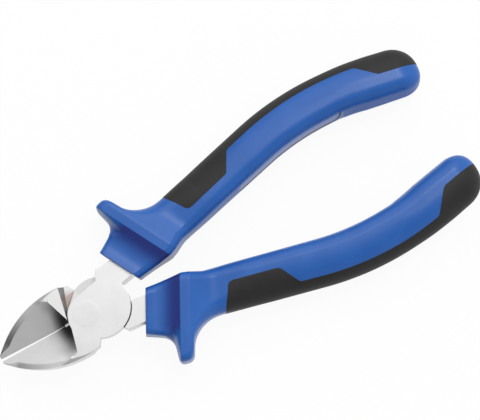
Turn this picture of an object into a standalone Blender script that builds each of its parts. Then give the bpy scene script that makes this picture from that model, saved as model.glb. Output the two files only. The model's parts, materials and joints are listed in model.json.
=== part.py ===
"""Diagonal cutting pliers with two moulded grips.

Two equal forged halves are lapped over each other and held by one flush rivet. Each half has a jaw, a
joint disc of half the thickness and a tang. A hard core sits on the tang, a satin body with a finger guard
is moulded round the core, and a soft overlay wraps the outer side of the body.

Everything is modelled about the pivot: X runs from the jaws to the handles, Y towards the front half's
handle, Z up along the rivet. The rear half and its grip are the same meshes turned over about X.
All lengths are in metres.
"""

import math

import bmesh
import bpy
from mathutils import Matrix, Vector

# Head
HEAD_THICKNESS = 0.0105
LAP_GAP = 0.0002
REST_OPENING = math.radians(1.5)
JAW_REACH = 0.0307
JAW_HALF_WIDTH = 0.0115
JAW_TIP_SIDE = 0.00094
JAW_WIDEST_AHEAD = 0.0065
HEEL_AHEAD = 0.0006
DISC_RADIUS = 0.0096
DISC_BEHIND = 0.0041
JOINT_GAP = 0.0004

# Cutting edges
EDGE_LAND = 0.0003
BEVEL_ANGLE = math.radians(29)
BEVEL_FILLET = 0.0025
BEVEL_BACK_AHEAD = 0.00665
BEVEL_BACK_SWEEP = math.radians(14)
THROAT_RELIEF_LENGTH = 0.0015
THROAT_RELIEF_DEPTH = 0.00045

# Clearance of the lap: the curve that lets the other jaw swing, and that jaw's drafted back wall
SWING_CORNER_AHEAD = 0.0052
SWING_CORNER_SIDE = 0.0051
SWING_RADIUS = 0.006
SHOULDER_BEHIND = 0.0082
SHOULDER_SIDE = 0.0093
JAW_WALL_AHEAD_INNER = 0.0070
JAW_WALL_AHEAD_OUTER = 0.0046
JAW_WALL_DRAFT = 0.0013

# Tang
TANG_OUTER_SIDE = 0.0115
TANG_INNER_SIDE = 0.0029
TANG_SHOULDER_RUN = 0.0011
TANG_BLOCK_DEPTH = 0.0070
TANG_HALF_WIDTH = 0.0029
TANG_HALF_HEIGHT = 0.0026
TANG_TAIL = 0.0255
TANG_CHAMFER = 0.0006

# Rivet
RIVET_SHANK_RADIUS = 0.0034
RIVET_HEAD_RADIUS = 0.0042
RIVET_HEAD_DEPTH = 0.0012
RIVET_PLAY = 0.00005

# Grip in plan: the middle line runs straight from the rim, bends once and runs straight to the end
RIM_BEHIND = 0.0160
RIM_SIDE = 0.00785
GRIP_FRONT_ANGLE = math.radians(13.9)
GRIP_FRONT_RUN = 0.0768
GRIP_REAR_ANGLE = math.radians(-11.2)
GRIP_REAR_RUN = 0.0392
GRIP_BEND_RADIUS = 0.090
RIM_SKEW = math.radians(14.1)
END_SKEW = math.radians(8)
SKEW_EASE_AT = 0.016
SKEW_EASE_RUN = 0.018
END_ROUND_LENGTH = 0.0082
END_ROUND_POWER = 2.2

# Grip widths, measured from the middle line
RIM_OUTER_WIDTH = 0.0075
RIM_INNER_WIDTH = 0.0070
WAIST_HALF_WIDTH = 0.0075
WAIST_AT = 0.058
END_HALF_WIDTH = 0.0080
END_WIDTH_AT = 0.096
INNER_BULGE_WIDTH = 0.0086
INNER_BULGE_AT = 0.0122
INNER_BULGE_RUN = 0.0068

# Finger guard
GUARD_FOOT_AT = 0.0092
GUARD_FOOT_WIDTH = 0.0105
GUARD_FRONT_RUN = 0.0022
GUARD_TIP_LENGTH = 0.0044
GUARD_BACK_LEAN = 0.0004
GUARD_REACH = 0.0203
GUARD_FOOT_FILLET = 0.004
GUARD_TIP_ROUND = 0.0015
GUARD_BACK_FILLET = 0.008
GUARD_BACK_FOOT_WIDTH = 0.0085
GUARD_BLEND_RUN = 0.0142

# Grip heights, measured from the middle plane
SLEEVE_WALL = 0.0011
SCOOP_AT = 0.0080
SCOOP_ROUND = 0.010
CREST_SETBACK = 0.0003
CREST_LENGTH = 0.0029
CREST_HALF_HEIGHT = 0.0088
VALLEY_RUN = 0.0039
BODY_HALF_HEIGHT = 0.0071
END_HALF_HEIGHT = 0.0068
CORNER_INNER = 0.0034
CORNER_OUTER = 0.0064
CORNER_CREST = 0.0015

# Overlay in plan, along and across the middle line
OVERLAY_THICKNESS = 0.0014
PATCH_START_AT = 0.0254
PATCH_FRONT_RUN = 0.0044
PATCH_INNER_SIDE = -0.0017
PATCH_LENGTH = 0.0141
PATCH_STEP_RUN = 0.0055
STRIP_WIDTH = 0.0028
END_PATCH_LENGTH = 0.0180
END_PATCH_STEP_RUN = 0.0058
END_PATCH_INNER_SIDE = 0.0006
PATCH_ROUND = 0.0019

# Core and its window on the inner side
CORE_HALF_WIDTH = 0.0043
CORE_HALF_HEIGHT = 0.0040
CORE_START_AT = 0.027
CORE_TAIL = 0.014
WINDOW_START_AT = 0.044
WINDOW_END_AT = 0.0863
WINDOW_HALF_HEIGHT = 0.0042
WINDOW_STEP = 0.0002

# Fit between mouldings
MOULD_GAP = 0.0003

# How finely curves are cut into facets, and how far a cutting solid runs past what it cuts
ARC_STEP = math.radians(12)
JAW_ARC_STEPS = 14
BEVEL_FILLET_STEPS = 5
RIVET_SIDES = 48
SKIN_CORNER_POINTS = 5
BAR_CORNER_POINTS = 3
BEND_STEPS = 7
END_ROUND_STEPS = 6
END_ROUND_TURN = math.radians(84)
WINDOW_END_STEPS = 6
PATCH_POINT_SPACING = 0.009
CLOSEST_RIBS = 0.00005
SHARP_EDGE = math.radians(35)
OUTSIDE = 0.02
LAP_ARC_OVERRUN = math.radians(3)

# Derived sizes
HALF_THICKNESS = HEAD_THICKNESS / 2
EDGE_SLOPE = math.tan(REST_OPENING / 2)
JAW_ARC_RUN = JAW_REACH - JAW_WIDEST_AHEAD
JAW_ARC_RISE = JAW_HALF_WIDTH - JAW_TIP_SIDE
JAW_ARC_RADIUS = (JAW_ARC_RUN**2 + JAW_ARC_RISE**2) / (2 * JAW_ARC_RISE)
RIM_HALF_HEIGHT = HALF_THICKNESS + MOULD_GAP + SLEEVE_WALL
BEND_TANGENT = GRIP_BEND_RADIUS * math.tan((GRIP_FRONT_ANGLE - GRIP_REAR_ANGLE) / 2)
BEND_START = GRIP_FRONT_RUN - BEND_TANGENT
BEND_END = BEND_START + GRIP_BEND_RADIUS * (GRIP_FRONT_ANGLE - GRIP_REAR_ANGLE)
GRIP_LENGTH = BEND_END + GRIP_REAR_RUN - BEND_TANGENT
END_ROUND_AT = GRIP_LENGTH - END_ROUND_LENGTH
SKEW_EASE_END = SKEW_EASE_AT + SKEW_EASE_RUN
GUARD_FRONT_AT = GUARD_FOOT_AT + GUARD_FRONT_RUN
GUARD_BACK_AT = GUARD_FRONT_AT + GUARD_TIP_LENGTH
GUARD_BLEND_END = GUARD_BACK_AT + GUARD_BLEND_RUN
CREST_FRONT_AT = GUARD_FRONT_AT + CREST_SETBACK
CREST_BACK_AT = CREST_FRONT_AT + CREST_LENGTH
VALLEY_AT = CREST_BACK_AT + VALLEY_RUN
TANG_END = GRIP_LENGTH - TANG_TAIL
CORE_END = GRIP_LENGTH - CORE_TAIL


def direction(angle):
    """Unit vector in plan at an angle from +X."""
    return Vector((math.cos(angle), math.sin(angle)))


def rounded_path(corners, closed=False):
    """Points of a path through (point, radius) corners, each corner turned by an arc of its radius."""
    count = len(corners)
    points = []
    for index, (corner, radius) in enumerate(corners):
        here = Vector(corner)
        if not closed and index in (0, count - 1) or radius == 0:
            points.append(here)
            continue
        back = (Vector(corners[index - 1][0]) - here).normalized()
        ahead = (Vector(corners[(index + 1) % count][0]) - here).normalized()
        half = back.angle(ahead) / 2
        turn = math.pi - 2 * half
        towards = (back + ahead).normalized()
        centre = here + towards * (radius / math.sin(half))
        first = here + back * (radius / math.tan(half)) - centre
        sign = 1 if back.cross(ahead) < 0 else -1
        steps = max(2, math.ceil(turn / ARC_STEP))
        for step in range(steps + 1):
            points.append(centre + Matrix.Rotation(sign * turn * step / steps, 2) @ first)
    return points


def arc(centre, radius, start, end):
    """Points on a circle from one angle to another."""
    steps = max(2, math.ceil(abs(end - start) / ARC_STEP))
    return [centre + direction(start + (end - start) * step / steps) * radius for step in range(steps + 1)]


def offset_corners(corners, distance):
    """The corners of a closed counter-clockwise outline with every side moved outwards."""
    moved = []
    count = len(corners)
    for index, (corner, radius) in enumerate(corners):
        here = Vector(corner)
        before = (here - Vector(corners[index - 1][0])).normalized()
        after = (Vector(corners[(index + 1) % count][0]) - here).normalized()
        normal_before = Vector((before.y, -before.x))
        normal_after = Vector((after.y, -after.x))
        shift = (normal_before + normal_after) * (distance / (1 + normal_before.dot(normal_after)))
        moved.append((here + shift, radius))
    return moved


def sample(path, position):
    """The second coordinate of a path at a value of its first, which never falls along the path."""
    for left, right in zip(path, path[1:]):
        if position <= right.x:
            span = right.x - left.x
            share = (position - left.x) / span if span > 0 else 1.0
            return left.y + (right.y - left.y) * max(share, 0.0)
    return path[-1].y


def mesh_of(name, work):
    """A mesh from a bmesh, with its faces turned outwards."""
    bmesh.ops.recalc_face_normals(work, faces=work.faces)
    mesh = bpy.data.meshes.new(name)
    work.to_mesh(mesh)
    work.free()
    return mesh


def prism(name, low_outline, low, high_outline, high):
    """A solid between two plan outlines with as many points, at two heights."""
    work = bmesh.new()
    bottom = [work.verts.new((point.x, point.y, low)) for point in low_outline]
    top = [work.verts.new((point.x, point.y, high)) for point in high_outline]
    work.faces.new(bottom[::-1])
    work.faces.new(top)
    for index in range(len(bottom)):
        work.faces.new((bottom[index - 1], bottom[index], top[index], top[index - 1]))
    return mesh_of(name, work)


def loft(name, rings):
    """A solid through a row of rings with as many points, closed by its first and last ring."""
    work = bmesh.new()
    loops = [[work.verts.new(point) for point in ring] for ring in rings]
    work.faces.new(loops[0])
    work.faces.new(loops[-1][::-1])
    for first, second in zip(loops, loops[1:]):
        for index in range(len(first)):
            work.faces.new((first[index - 1], second[index - 1], second[index], first[index]))
    return mesh_of(name, work)


def combined(mesh, other, operation):
    """The exact Boolean of two meshes, as a new mesh."""
    base = bpy.data.objects.new("base", mesh)
    tool = bpy.data.objects.new("tool", other)
    for helper in (base, tool):
        bpy.context.scene.collection.objects.link(helper)
    modifier = base.modifiers.new("combine", "BOOLEAN")
    modifier.operation = operation
    modifier.solver = "EXACT"
    modifier.object = tool
    bpy.context.view_layer.update()
    graph = bpy.context.evaluated_depsgraph_get()
    result = bpy.data.meshes.new_from_object(base.evaluated_get(graph))
    for helper in (base, tool):
        bpy.data.objects.remove(helper)
    return result


def material_named(name, colour, roughness, metallic):
    material = bpy.data.materials.new(name)
    material.use_nodes = True
    shader = material.node_tree.nodes["Principled BSDF"]
    shader.inputs["Base Color"].default_value = (*colour, 1.0)
    shader.inputs["Roughness"].default_value = roughness
    shader.inputs["Metallic"].default_value = metallic
    return material


def place(name, mesh, material, parent):
    """An object under its pivot, shaded smooth with its real edges kept sharp."""
    copy = mesh.copy()
    copy.name = name
    copy.materials.clear()
    copy.materials.append(material)
    copy.shade_smooth()
    copy.set_sharp_from_angle(angle=SHARP_EDGE)
    piece = bpy.data.objects.new(name, copy)
    piece.parent = parent
    bpy.context.scene.collection.objects.link(piece)
    return piece


# The middle line of the grip, and the ribs that cross it


def spine_corners():
    start = Vector((RIM_BEHIND, RIM_SIDE))
    bend = start + direction(GRIP_FRONT_ANGLE) * GRIP_FRONT_RUN
    end = bend + direction(GRIP_REAR_ANGLE) * GRIP_REAR_RUN
    return start, bend, end


def spine(along):
    """Point and heading of the middle line at a distance from the rim: a line, an arc and a line."""
    start, bend, end = spine_corners()
    if along <= BEND_START:
        return start + direction(GRIP_FRONT_ANGLE) * along, GRIP_FRONT_ANGLE
    if along >= BEND_END:
        return end + direction(GRIP_REAR_ANGLE) * (along - GRIP_LENGTH), GRIP_REAR_ANGLE
    heading = GRIP_FRONT_ANGLE - (along - BEND_START) / GRIP_BEND_RADIUS
    centre = start + direction(GRIP_FRONT_ANGLE) * BEND_START
    centre += direction(GRIP_FRONT_ANGLE - math.pi / 2) * GRIP_BEND_RADIUS
    return centre + direction(heading + math.pi / 2) * GRIP_BEND_RADIUS, heading


def eased(value, start, end):
    """A smooth step from 0 to 1 between two values."""
    share = min(max((value - start) / (end - start), 0.0), 1.0)
    return share * share * (3 - 2 * share)


def rib(along):
    """Direction in plan of the rib at a distance from the rim, pointing to the outer side."""
    heading = spine(along)[1]
    skew = RIM_SKEW * (1 - eased(along, SKEW_EASE_AT, SKEW_EASE_END))
    skew += END_SKEW * eased(along, BEND_END, END_ROUND_AT)
    return direction(heading + math.pi / 2 + skew)


def in_plan(along, across):
    """Plan point at a distance along the middle line and across it on its rib."""
    return spine(along)[0] + rib(along) * across


OUTER_WIDTHS = rounded_path(
    [
        ((0, RIM_OUTER_WIDTH), 0),
        ((GUARD_FOOT_AT, GUARD_FOOT_WIDTH), GUARD_FOOT_FILLET),
        ((GUARD_FRONT_AT, GUARD_REACH), GUARD_TIP_ROUND),
        ((GUARD_BACK_AT, GUARD_REACH), GUARD_TIP_ROUND),
        ((GUARD_BACK_AT + GUARD_BACK_LEAN, GUARD_BACK_FOOT_WIDTH), GUARD_BACK_FILLET),
        ((GUARD_BLEND_END, WAIST_HALF_WIDTH), 0),
        ((WAIST_AT, WAIST_HALF_WIDTH), 0),
        ((END_WIDTH_AT, END_HALF_WIDTH), 0),
        ((GRIP_LENGTH, END_HALF_WIDTH), 0),
    ]
)
INNER_WIDTHS = rounded_path(
    [
        ((0, RIM_INNER_WIDTH), 0),
        ((INNER_BULGE_AT, INNER_BULGE_WIDTH), GUARD_FOOT_FILLET),
        ((INNER_BULGE_AT + INNER_BULGE_RUN, WAIST_HALF_WIDTH), GUARD_BACK_FILLET),
        ((WAIST_AT, WAIST_HALF_WIDTH), 0),
        ((END_WIDTH_AT, END_HALF_WIDTH), 0),
        ((GRIP_LENGTH, END_HALF_WIDTH), 0),
    ]
)
HEIGHTS = rounded_path(
    [
        ((0, RIM_HALF_HEIGHT), 0),
        ((SCOOP_AT, RIM_HALF_HEIGHT), SCOOP_ROUND),
        ((CREST_FRONT_AT, CREST_HALF_HEIGHT), 0),
        ((CREST_BACK_AT, CREST_HALF_HEIGHT), 0),
        ((VALLEY_AT, BODY_HALF_HEIGHT), GUARD_BACK_FILLET),
        ((END_WIDTH_AT, BODY_HALF_HEIGHT), 0),
        ((GRIP_LENGTH, END_HALF_HEIGHT), 0),
    ]
)


def section(along, outer, inner, height, corner_outer, corner_inner, corner_points):
    """Ring of a rounded rectangle on the rib: four round corners of a few points each."""
    ring = []
    for quarter, (side, sign) in enumerate(((1, 1), (-1, 1), (-1, -1), (1, -1))):
        width = outer if side > 0 else inner
        reach = min(corner_outer if side > 0 else corner_inner, width)
        rise = min(corner_outer if side > 0 else corner_inner, height)
        for step in range(corner_points):
            angle = quarter * math.pi / 2 + math.pi / 2 * step / (corner_points - 1)
            across = side * (width - reach) + reach * math.cos(angle)
            up = sign * (height - rise) + rise * math.sin(angle)
            point = in_plan(along, across)
            ring.append((point.x, point.y, up))
    return ring


def corner_sizes(along):
    """Corner roundings of the body: small on the crest, larger on the handle."""
    handle = eased(along, CREST_BACK_AT, SKEW_EASE_END)
    outer = CORNER_CREST + (CORNER_OUTER - CORNER_CREST) * handle
    inner = CORNER_CREST + (CORNER_INNER - CORNER_CREST) * handle
    return outer, inner


def end_share(along, inset):
    """How much of the section is left inside the rounded end."""
    share = max((along - END_ROUND_AT) / (END_ROUND_LENGTH - inset), 0.0)
    return (1 - share**END_ROUND_POWER) ** (1 / END_ROUND_POWER)


def grip_ring(along, inset):
    """Ring of the grip's outer skin, moved inwards."""
    left = end_share(along, inset)
    outer, inner = corner_sizes(along)
    return section(
        along,
        (sample(OUTER_WIDTHS, along) - inset) * left,
        (sample(INNER_WIDTHS, along) - inset) * left,
        (sample(HEIGHTS, along) - inset) * left,
        max(outer - inset / 2, CORNER_CREST) * left,
        max(inner - inset / 2, CORNER_CREST) * left,
        SKIN_CORNER_POINTS,
    )


def spread(start, end, count):
    """Evenly spread values from start up to, but not including, end."""
    return [start + (end - start) * index / count for index in range(count)]


def ordered(stations):
    """Distances in rising order, without those that nearly repeat the one before."""
    kept = []
    for along in sorted(stations):
        if not kept or along - kept[-1] > CLOSEST_RIBS:
            kept.append(along)
    return kept


def guard_stations():
    """Distances of the ribs over the mouth, the scoop, the guard and the valley behind it."""
    return (
        spread(0, GUARD_FOOT_AT - GUARD_FRONT_RUN, 4)
        + spread(GUARD_FOOT_AT - GUARD_FRONT_RUN, GUARD_FRONT_AT, 7)
        + spread(GUARD_FRONT_AT, CREST_FRONT_AT, 1)
        + spread(CREST_FRONT_AT, CREST_BACK_AT, 2)
        + spread(CREST_BACK_AT, GUARD_BACK_AT, 3)
        + spread(GUARD_BACK_AT, VALLEY_AT, 5)
    )


def handle_stations(inset):
    """Distances of the ribs from the valley over the handle to its rounded end."""
    length = END_ROUND_LENGTH - inset
    turns = [END_ROUND_TURN * step / END_ROUND_STEPS for step in range(END_ROUND_STEPS + 1)]
    return (
        spread(VALLEY_AT, GUARD_BLEND_END, 5)
        + spread(GUARD_BLEND_END, BEND_START, 4)
        + spread(BEND_START, BEND_END, BEND_STEPS)
        + spread(BEND_END, END_ROUND_AT, 2)
        + [END_ROUND_AT + length * math.sin(turn) for turn in turns]
    )


def grip_skin(name, inset=0.0):
    """The grip's outer form, or a form lying deeper by an inset that starts behind the guard."""
    stations = handle_stations(inset)
    if inset == 0:
        stations += guard_stations()
    return loft(name, [grip_ring(along, inset) for along in ordered(stations)])


def bar(name, start, end, half_width, half_height, corner):
    """A straight-sided bar along the middle line."""
    bend = spread(BEND_START, BEND_END, BEND_STEPS) + [BEND_END]
    stations = ordered([start] + [along for along in bend if start < along < end] + [end])
    shape = (half_width, half_width, half_height, corner, corner, BAR_CORNER_POINTS)
    return loft(name, [section(along, *shape) for along in stations])


# Head


def edge_side(ahead):
    """How far the cutting edge stands from the middle line at a distance ahead of the pivot."""
    return ahead * EDGE_SLOPE


def jaw_arc():
    """Outer edge of the jaw, from its tip to its heel."""
    centre = Vector((-JAW_WIDEST_AHEAD, JAW_ARC_RADIUS - JAW_HALF_WIDTH))
    tip = math.asin(JAW_ARC_RUN / JAW_ARC_RADIUS)
    heel = math.asin((JAW_WIDEST_AHEAD - HEEL_AHEAD) / JAW_ARC_RADIUS)
    start = -math.pi / 2 - tip
    return [
        centre + direction(start + (tip + heel) * step / JAW_ARC_STEPS) * JAW_ARC_RADIUS
        for step in range(JAW_ARC_STEPS + 1)
    ]


def tang_block_corners():
    """The part of the tang that stands in the grip's mouth, from the disc to an end square to the rim."""
    root = DISC_BEHIND + math.sqrt(DISC_RADIUS**2 - TANG_INNER_SIDE**2)
    return [
        Vector((root, TANG_INNER_SIDE)),
        in_plan(TANG_BLOCK_DEPTH, TANG_INNER_SIDE - RIM_SIDE),
        in_plan(TANG_BLOCK_DEPTH, TANG_OUTER_SIDE - RIM_SIDE),
        Vector((RIM_BEHIND - RIM_OUTER_WIDTH * math.sin(GRIP_FRONT_ANGLE), TANG_OUTER_SIDE)),
    ]


def half_outline():
    """Plan of one half in its own layer, counter-clockwise from the cutting edge's tip."""
    disc_centre = Vector((DISC_BEHIND, 0))
    heel_angle = -math.acos(-(HEEL_AHEAD + DISC_BEHIND) / DISC_RADIUS)
    tang_angle = math.asin(TANG_INNER_SIDE / DISC_RADIUS)
    relief_front = BEVEL_BACK_AHEAD + THROAT_RELIEF_LENGTH
    shoulder = Vector((SHOULDER_BEHIND, SHOULDER_SIDE))
    swing = [
        (Vector((SHOULDER_BEHIND + TANG_SHOULDER_RUN, TANG_OUTER_SIDE)), 0),
        (shoulder, 0),
        (Vector((-SWING_CORNER_AHEAD, SWING_CORNER_SIDE)), SWING_RADIUS),
        (Vector((-BEVEL_BACK_AHEAD, -THROAT_RELIEF_DEPTH)), 0),
    ]
    outline = [Vector((-JAW_REACH, -edge_side(JAW_REACH)))]
    outline += jaw_arc()
    outline += arc(disc_centre, DISC_RADIUS, heel_angle, tang_angle)
    outline += tang_block_corners()[1:]
    outline += rounded_path(swing)
    outline.append(Vector((-relief_front, -THROAT_RELIEF_DEPTH)))
    outline.append(Vector((-relief_front, -edge_side(relief_front))))
    return outline


def lap_outline(draft):
    """Plan of the space that the other half's disc needs, with the jaw wall leaning back by a draft."""
    far = JAW_HALF_WIDTH + OUTSIDE
    wall_slope = (JAW_WALL_AHEAD_INNER - JAW_WALL_AHEAD_OUTER) / JAW_HALF_WIDTH
    far_ahead = JAW_WALL_AHEAD_INNER - wall_slope * far - draft * far / JAW_HALF_WIDTH
    radius = DISC_RADIUS + JOINT_GAP
    disc_centre = Vector((DISC_BEHIND, 0))
    shoulder_angle = math.acos((SHOULDER_BEHIND - DISC_BEHIND) / radius)
    return (
        [
            Vector((-JAW_WALL_AHEAD_INNER, far)),
            Vector((-JAW_WALL_AHEAD_INNER, 0)),
            Vector((-far_ahead, -far)),
            Vector((DISC_BEHIND + far, -far)),
            Vector((DISC_BEHIND + far, 0)),
        ]
        + arc(disc_centre, radius, 0, shoulder_angle + LAP_ARC_OVERRUN)
        + [Vector((SHOULDER_BEHIND - JOINT_GAP, far))]
    )


def bevel_tool(face):
    """The block that grinds one bevel: a sloping floor, a back wall and the fillet between them."""
    rise = math.tan(BEVEL_ANGLE)
    sweep = math.tan(BEVEL_BACK_SWEEP)
    work = bmesh.new()
    floor, roof = [], []
    for ahead_far, side in ((True, -1), (False, -1), (False, 1), (True, 1)):
        across = side * (JAW_HALF_WIDTH if side < 0 else THROAT_RELIEF_DEPTH)
        back = BEVEL_BACK_AHEAD - across * sweep
        ahead = JAW_REACH + OUTSIDE if ahead_far else back
        height = EDGE_LAND / 2 - (across + edge_side(ahead)) * rise
        floor.append(work.verts.new((-ahead, across, face * height)))
        roof.append(work.verts.new((-ahead, across, face * OUTSIDE)))
    work.faces.new(floor)
    work.faces.new(roof[::-1])
    for index in range(4):
        work.faces.new((floor[index - 1], roof[index - 1], roof[index], floor[index]))
    corner = work.edges.get((floor[1], floor[2]))
    bmesh.ops.bevel(
        work,
        geom=[corner],
        offset=BEVEL_FILLET,
        segments=BEVEL_FILLET_STEPS,
        profile=0.5,
        affect="EDGES",
    )
    return mesh_of("bevel_tool", work)


def turned(name, profile):
    """A solid turned about the pivot from (radius, height) points that run from the bottom to the top."""
    rings = []
    for radius, height in profile:
        turns = [direction(2 * math.pi * side / RIVET_SIDES) * radius for side in range(RIVET_SIDES)]
        rings.append([(point.x, point.y, height) for point in turns])
    return loft(name, rings)


def rivet_profile(play, overrun):
    """Half of the rivet's outline: a shank and a countersunk head at each face."""
    shank = RIVET_SHANK_RADIUS + play
    head = RIVET_HEAD_RADIUS + play
    end = HALF_THICKNESS + overrun
    neck = HALF_THICKNESS - RIVET_HEAD_DEPTH
    rise = overrun * (RIVET_HEAD_RADIUS - RIVET_SHANK_RADIUS) / RIVET_HEAD_DEPTH
    return [(head + rise, -end), (shank, -neck), (shank, neck), (head + rise, end)]


def make_half():
    """Jaw, disc and tang: one outline cut away for the other disc, ground, bored and drawn out behind."""
    outline = half_outline()
    half = prism("half", outline, -HALF_THICKNESS, outline, HALF_THICKNESS)
    lap = prism(
        "lap", lap_outline(0), -HALF_THICKNESS - LAP_GAP, lap_outline(JAW_WALL_DRAFT), LAP_GAP / 2
    )
    half = combined(half, lap, "DIFFERENCE")
    for face in (1, -1):
        half = combined(half, bevel_tool(face), "DIFFERENCE")
    bore = turned("bore", rivet_profile(RIVET_PLAY, LAP_GAP))
    half = combined(half, bore, "DIFFERENCE")
    tail = bar(
        "tail", TANG_BLOCK_DEPTH / 2, TANG_END, TANG_HALF_WIDTH, TANG_HALF_HEIGHT, TANG_CHAMFER
    )
    return combined(half, tail, "UNION")


# Grip mouldings


def patch_outline(gap):
    """Plan of the overlay, widened by a gap: front patch, strip along the outer side and end patch."""
    strip = WAIST_HALF_WIDTH - STRIP_WIDTH
    end_strip = END_HALF_WIDTH - STRIP_WIDTH
    inner_at = PATCH_START_AT + PATCH_FRONT_RUN
    slope = PATCH_FRONT_RUN / (WAIST_HALF_WIDTH - PATCH_INNER_SIDE)
    start = PATCH_START_AT - slope * (GUARD_REACH - WAIST_HALF_WIDTH)
    back_at = inner_at + PATCH_LENGTH
    end_at = GRIP_LENGTH - END_PATCH_LENGTH
    beyond = GRIP_LENGTH + OUTSIDE
    corners = [
        ((start, GUARD_REACH), 0),
        ((inner_at, PATCH_INNER_SIDE), PATCH_ROUND),
        ((back_at, PATCH_INNER_SIDE), PATCH_ROUND),
        ((back_at + PATCH_STEP_RUN, strip), PATCH_ROUND),
        ((end_at, end_strip), PATCH_ROUND),
        ((end_at + END_PATCH_STEP_RUN, END_PATCH_INNER_SIDE), PATCH_ROUND),
        ((beyond, END_PATCH_INNER_SIDE), 0),
        ((beyond, GUARD_REACH), 0),
    ]
    path = rounded_path(offset_corners(corners, gap), closed=True)
    dense = []
    for before, here in zip(path[-1:] + path, path):
        steps = max(1, math.ceil((here - before).length / PATCH_POINT_SPACING))
        dense += [before + (here - before) * (step + 1) / steps for step in range(steps)]
    return [in_plan(point.x, point.y) for point in dense]


def patch_prism(gap):
    outline = patch_outline(gap)
    reach = CREST_HALF_HEIGHT + OUTSIDE
    return prism("patch", outline, -reach, outline, reach)


def window_block(gap, depth):
    """The raised panel's block on the inner side: rounded ends along the grip, from the core outwards."""
    start = WINDOW_START_AT - gap
    end = WINDOW_END_AT + gap
    radius = WINDOW_HALF_HEIGHT + gap
    turns = [math.pi / 2 * (step + 1) / WINDOW_END_STEPS for step in range(WINDOW_END_STEPS)]
    front = [(start + radius * (1 - math.cos(turn)), radius * math.sin(turn)) for turn in turns]
    rear = [(end - (along - start), height) for along, height in reversed(front)]
    middle = [(along, radius) for along in spread(front[-1][0], rear[0][0], BEND_STEPS)[1:]]
    rings = []
    for along, height in front + middle + rear:
        outer = -(sample(INNER_WIDTHS, along) + depth)
        root = -CORE_HALF_WIDTH / 2
        corners = ((outer, height), (outer, -height), (root, -height), (root, height))
        rings.append([(*in_plan(along, across), up) for across, up in corners])
    return loft("window", rings)


def core_form(gap):
    """The core's outside without its panel, widened by a gap."""
    return bar(
        "core",
        CORE_START_AT - gap,
        CORE_END + gap,
        CORE_HALF_WIDTH + gap,
        CORE_HALF_HEIGHT + gap,
        CORNER_CREST,
    )


def tang_room(start):
    """The space round the drawn-out tang, from a distance behind the rim to its end."""
    return bar(
        "tang_room",
        start,
        TANG_END + MOULD_GAP,
        TANG_HALF_WIDTH + MOULD_GAP,
        TANG_HALF_HEIGHT + MOULD_GAP,
        TANG_CHAMFER,
    )


def make_core():
    """A sleeve open at its front, with the panel that shows on the inner side."""
    core = combined(core_form(0), window_block(0, WINDOW_STEP), "UNION")
    return combined(core, tang_room(CORE_START_AT - OUTSIDE), "DIFFERENCE")


def mouth_room():
    """The space round the tang's block in the mouth, running out in front of the rim."""
    corners = [(corner, 0) for corner in tang_block_corners()]
    corners.append((Vector((DISC_BEHIND, TANG_OUTER_SIDE)), 0))
    corners.append((Vector((DISC_BEHIND, TANG_INNER_SIDE)), 0))
    outline = [corner for corner, _ in offset_corners(corners, MOULD_GAP)]
    reach = HALF_THICKNESS + MOULD_GAP
    return prism("mouth_room", outline, -reach, outline, reach)


def make_body():
    """Sleeve, guard and handle, with the overlay's pocket, the core's room and the window cut out."""
    body = combined(grip_skin("skin"), patch_prism(MOULD_GAP), "DIFFERENCE")
    body = combined(body, grip_skin("pocket_floor", OVERLAY_THICKNESS + MOULD_GAP), "UNION")
    body = combined(body, mouth_room(), "DIFFERENCE")
    body = combined(body, core_form(MOULD_GAP), "DIFFERENCE")
    body = combined(body, window_block(MOULD_GAP, OUTSIDE), "DIFFERENCE")
    return combined(body, tang_room(TANG_BLOCK_DEPTH / 2), "DIFFERENCE")


def make_overlay():
    """The soft shell on the outer side."""
    overlay = combined(grip_skin("skin"), patch_prism(0), "INTERSECT")
    return combined(overlay, grip_skin("overlay_inside", OVERLAY_THICKNESS), "DIFFERENCE")


def pivot_empty(name, turned_over):
    """An empty on the rivet's axis, at the height where the tool lies on its guards."""
    end_reach = in_plan(END_ROUND_AT, 0).x + END_ROUND_LENGTH
    empty = bpy.data.objects.new(name, None)
    empty.location = ((JAW_REACH - end_reach) / 2, 0, CREST_HALF_HEIGHT)
    empty.rotation_euler = (math.pi if turned_over else 0, 0, 0)
    bpy.context.scene.collection.objects.link(empty)
    return empty


def main():
    for old in list(bpy.data.objects):
        bpy.data.objects.remove(old)
    steel = material_named("ground_steel", (0.72, 0.72, 0.74), 0.28, 1.0)
    rivet_steel = material_named("rivet_steel", (0.70, 0.70, 0.72), 0.32, 1.0)
    blue = material_named("satin_blue", (0.035, 0.115, 0.42), 0.42, 0.0)
    panel_blue = material_named("gloss_blue", (0.16, 0.26, 0.62), 0.25, 0.0)
    black = material_named("soft_black", (0.028, 0.026, 0.026), 0.62, 0.0)
    half, core, body, overlay = make_half(), make_core(), make_body(), make_overlay()
    for side, turned_over in (("front", False), ("rear", True)):
        pivot = pivot_empty(side + "_pivot", turned_over)
        place(side + "_half", half, steel, pivot)
        place(side + "_grip_core", core, panel_blue, pivot)
        place(side + "_grip_body", body, blue, pivot)
        place(side + "_grip_overlay", overlay, black, pivot)
        if not turned_over:
            place("pivot_rivet", turned("rivet", rivet_profile(0, 0)), rivet_steel, pivot)


main()
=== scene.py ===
"""Looks of the diagonal cutting pliers: fine surfaces, finishes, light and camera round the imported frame.

Lengths are millimetres about the pivot, as in the part: X runs from the jaws to the handles, Y towards the
front half's handle, Z up along the rivet. A piece is moved to the frame's pivot, in metres, when its mesh is
made. The rear half and its grip are the front ones turned over about X.
"""

import json
import math
from typing import NamedTuple

import bmesh
import bpy
import numpy as np
from mathutils import Matrix, Vector
from mathutils.geometry import delaunay_2d_cdt


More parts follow.
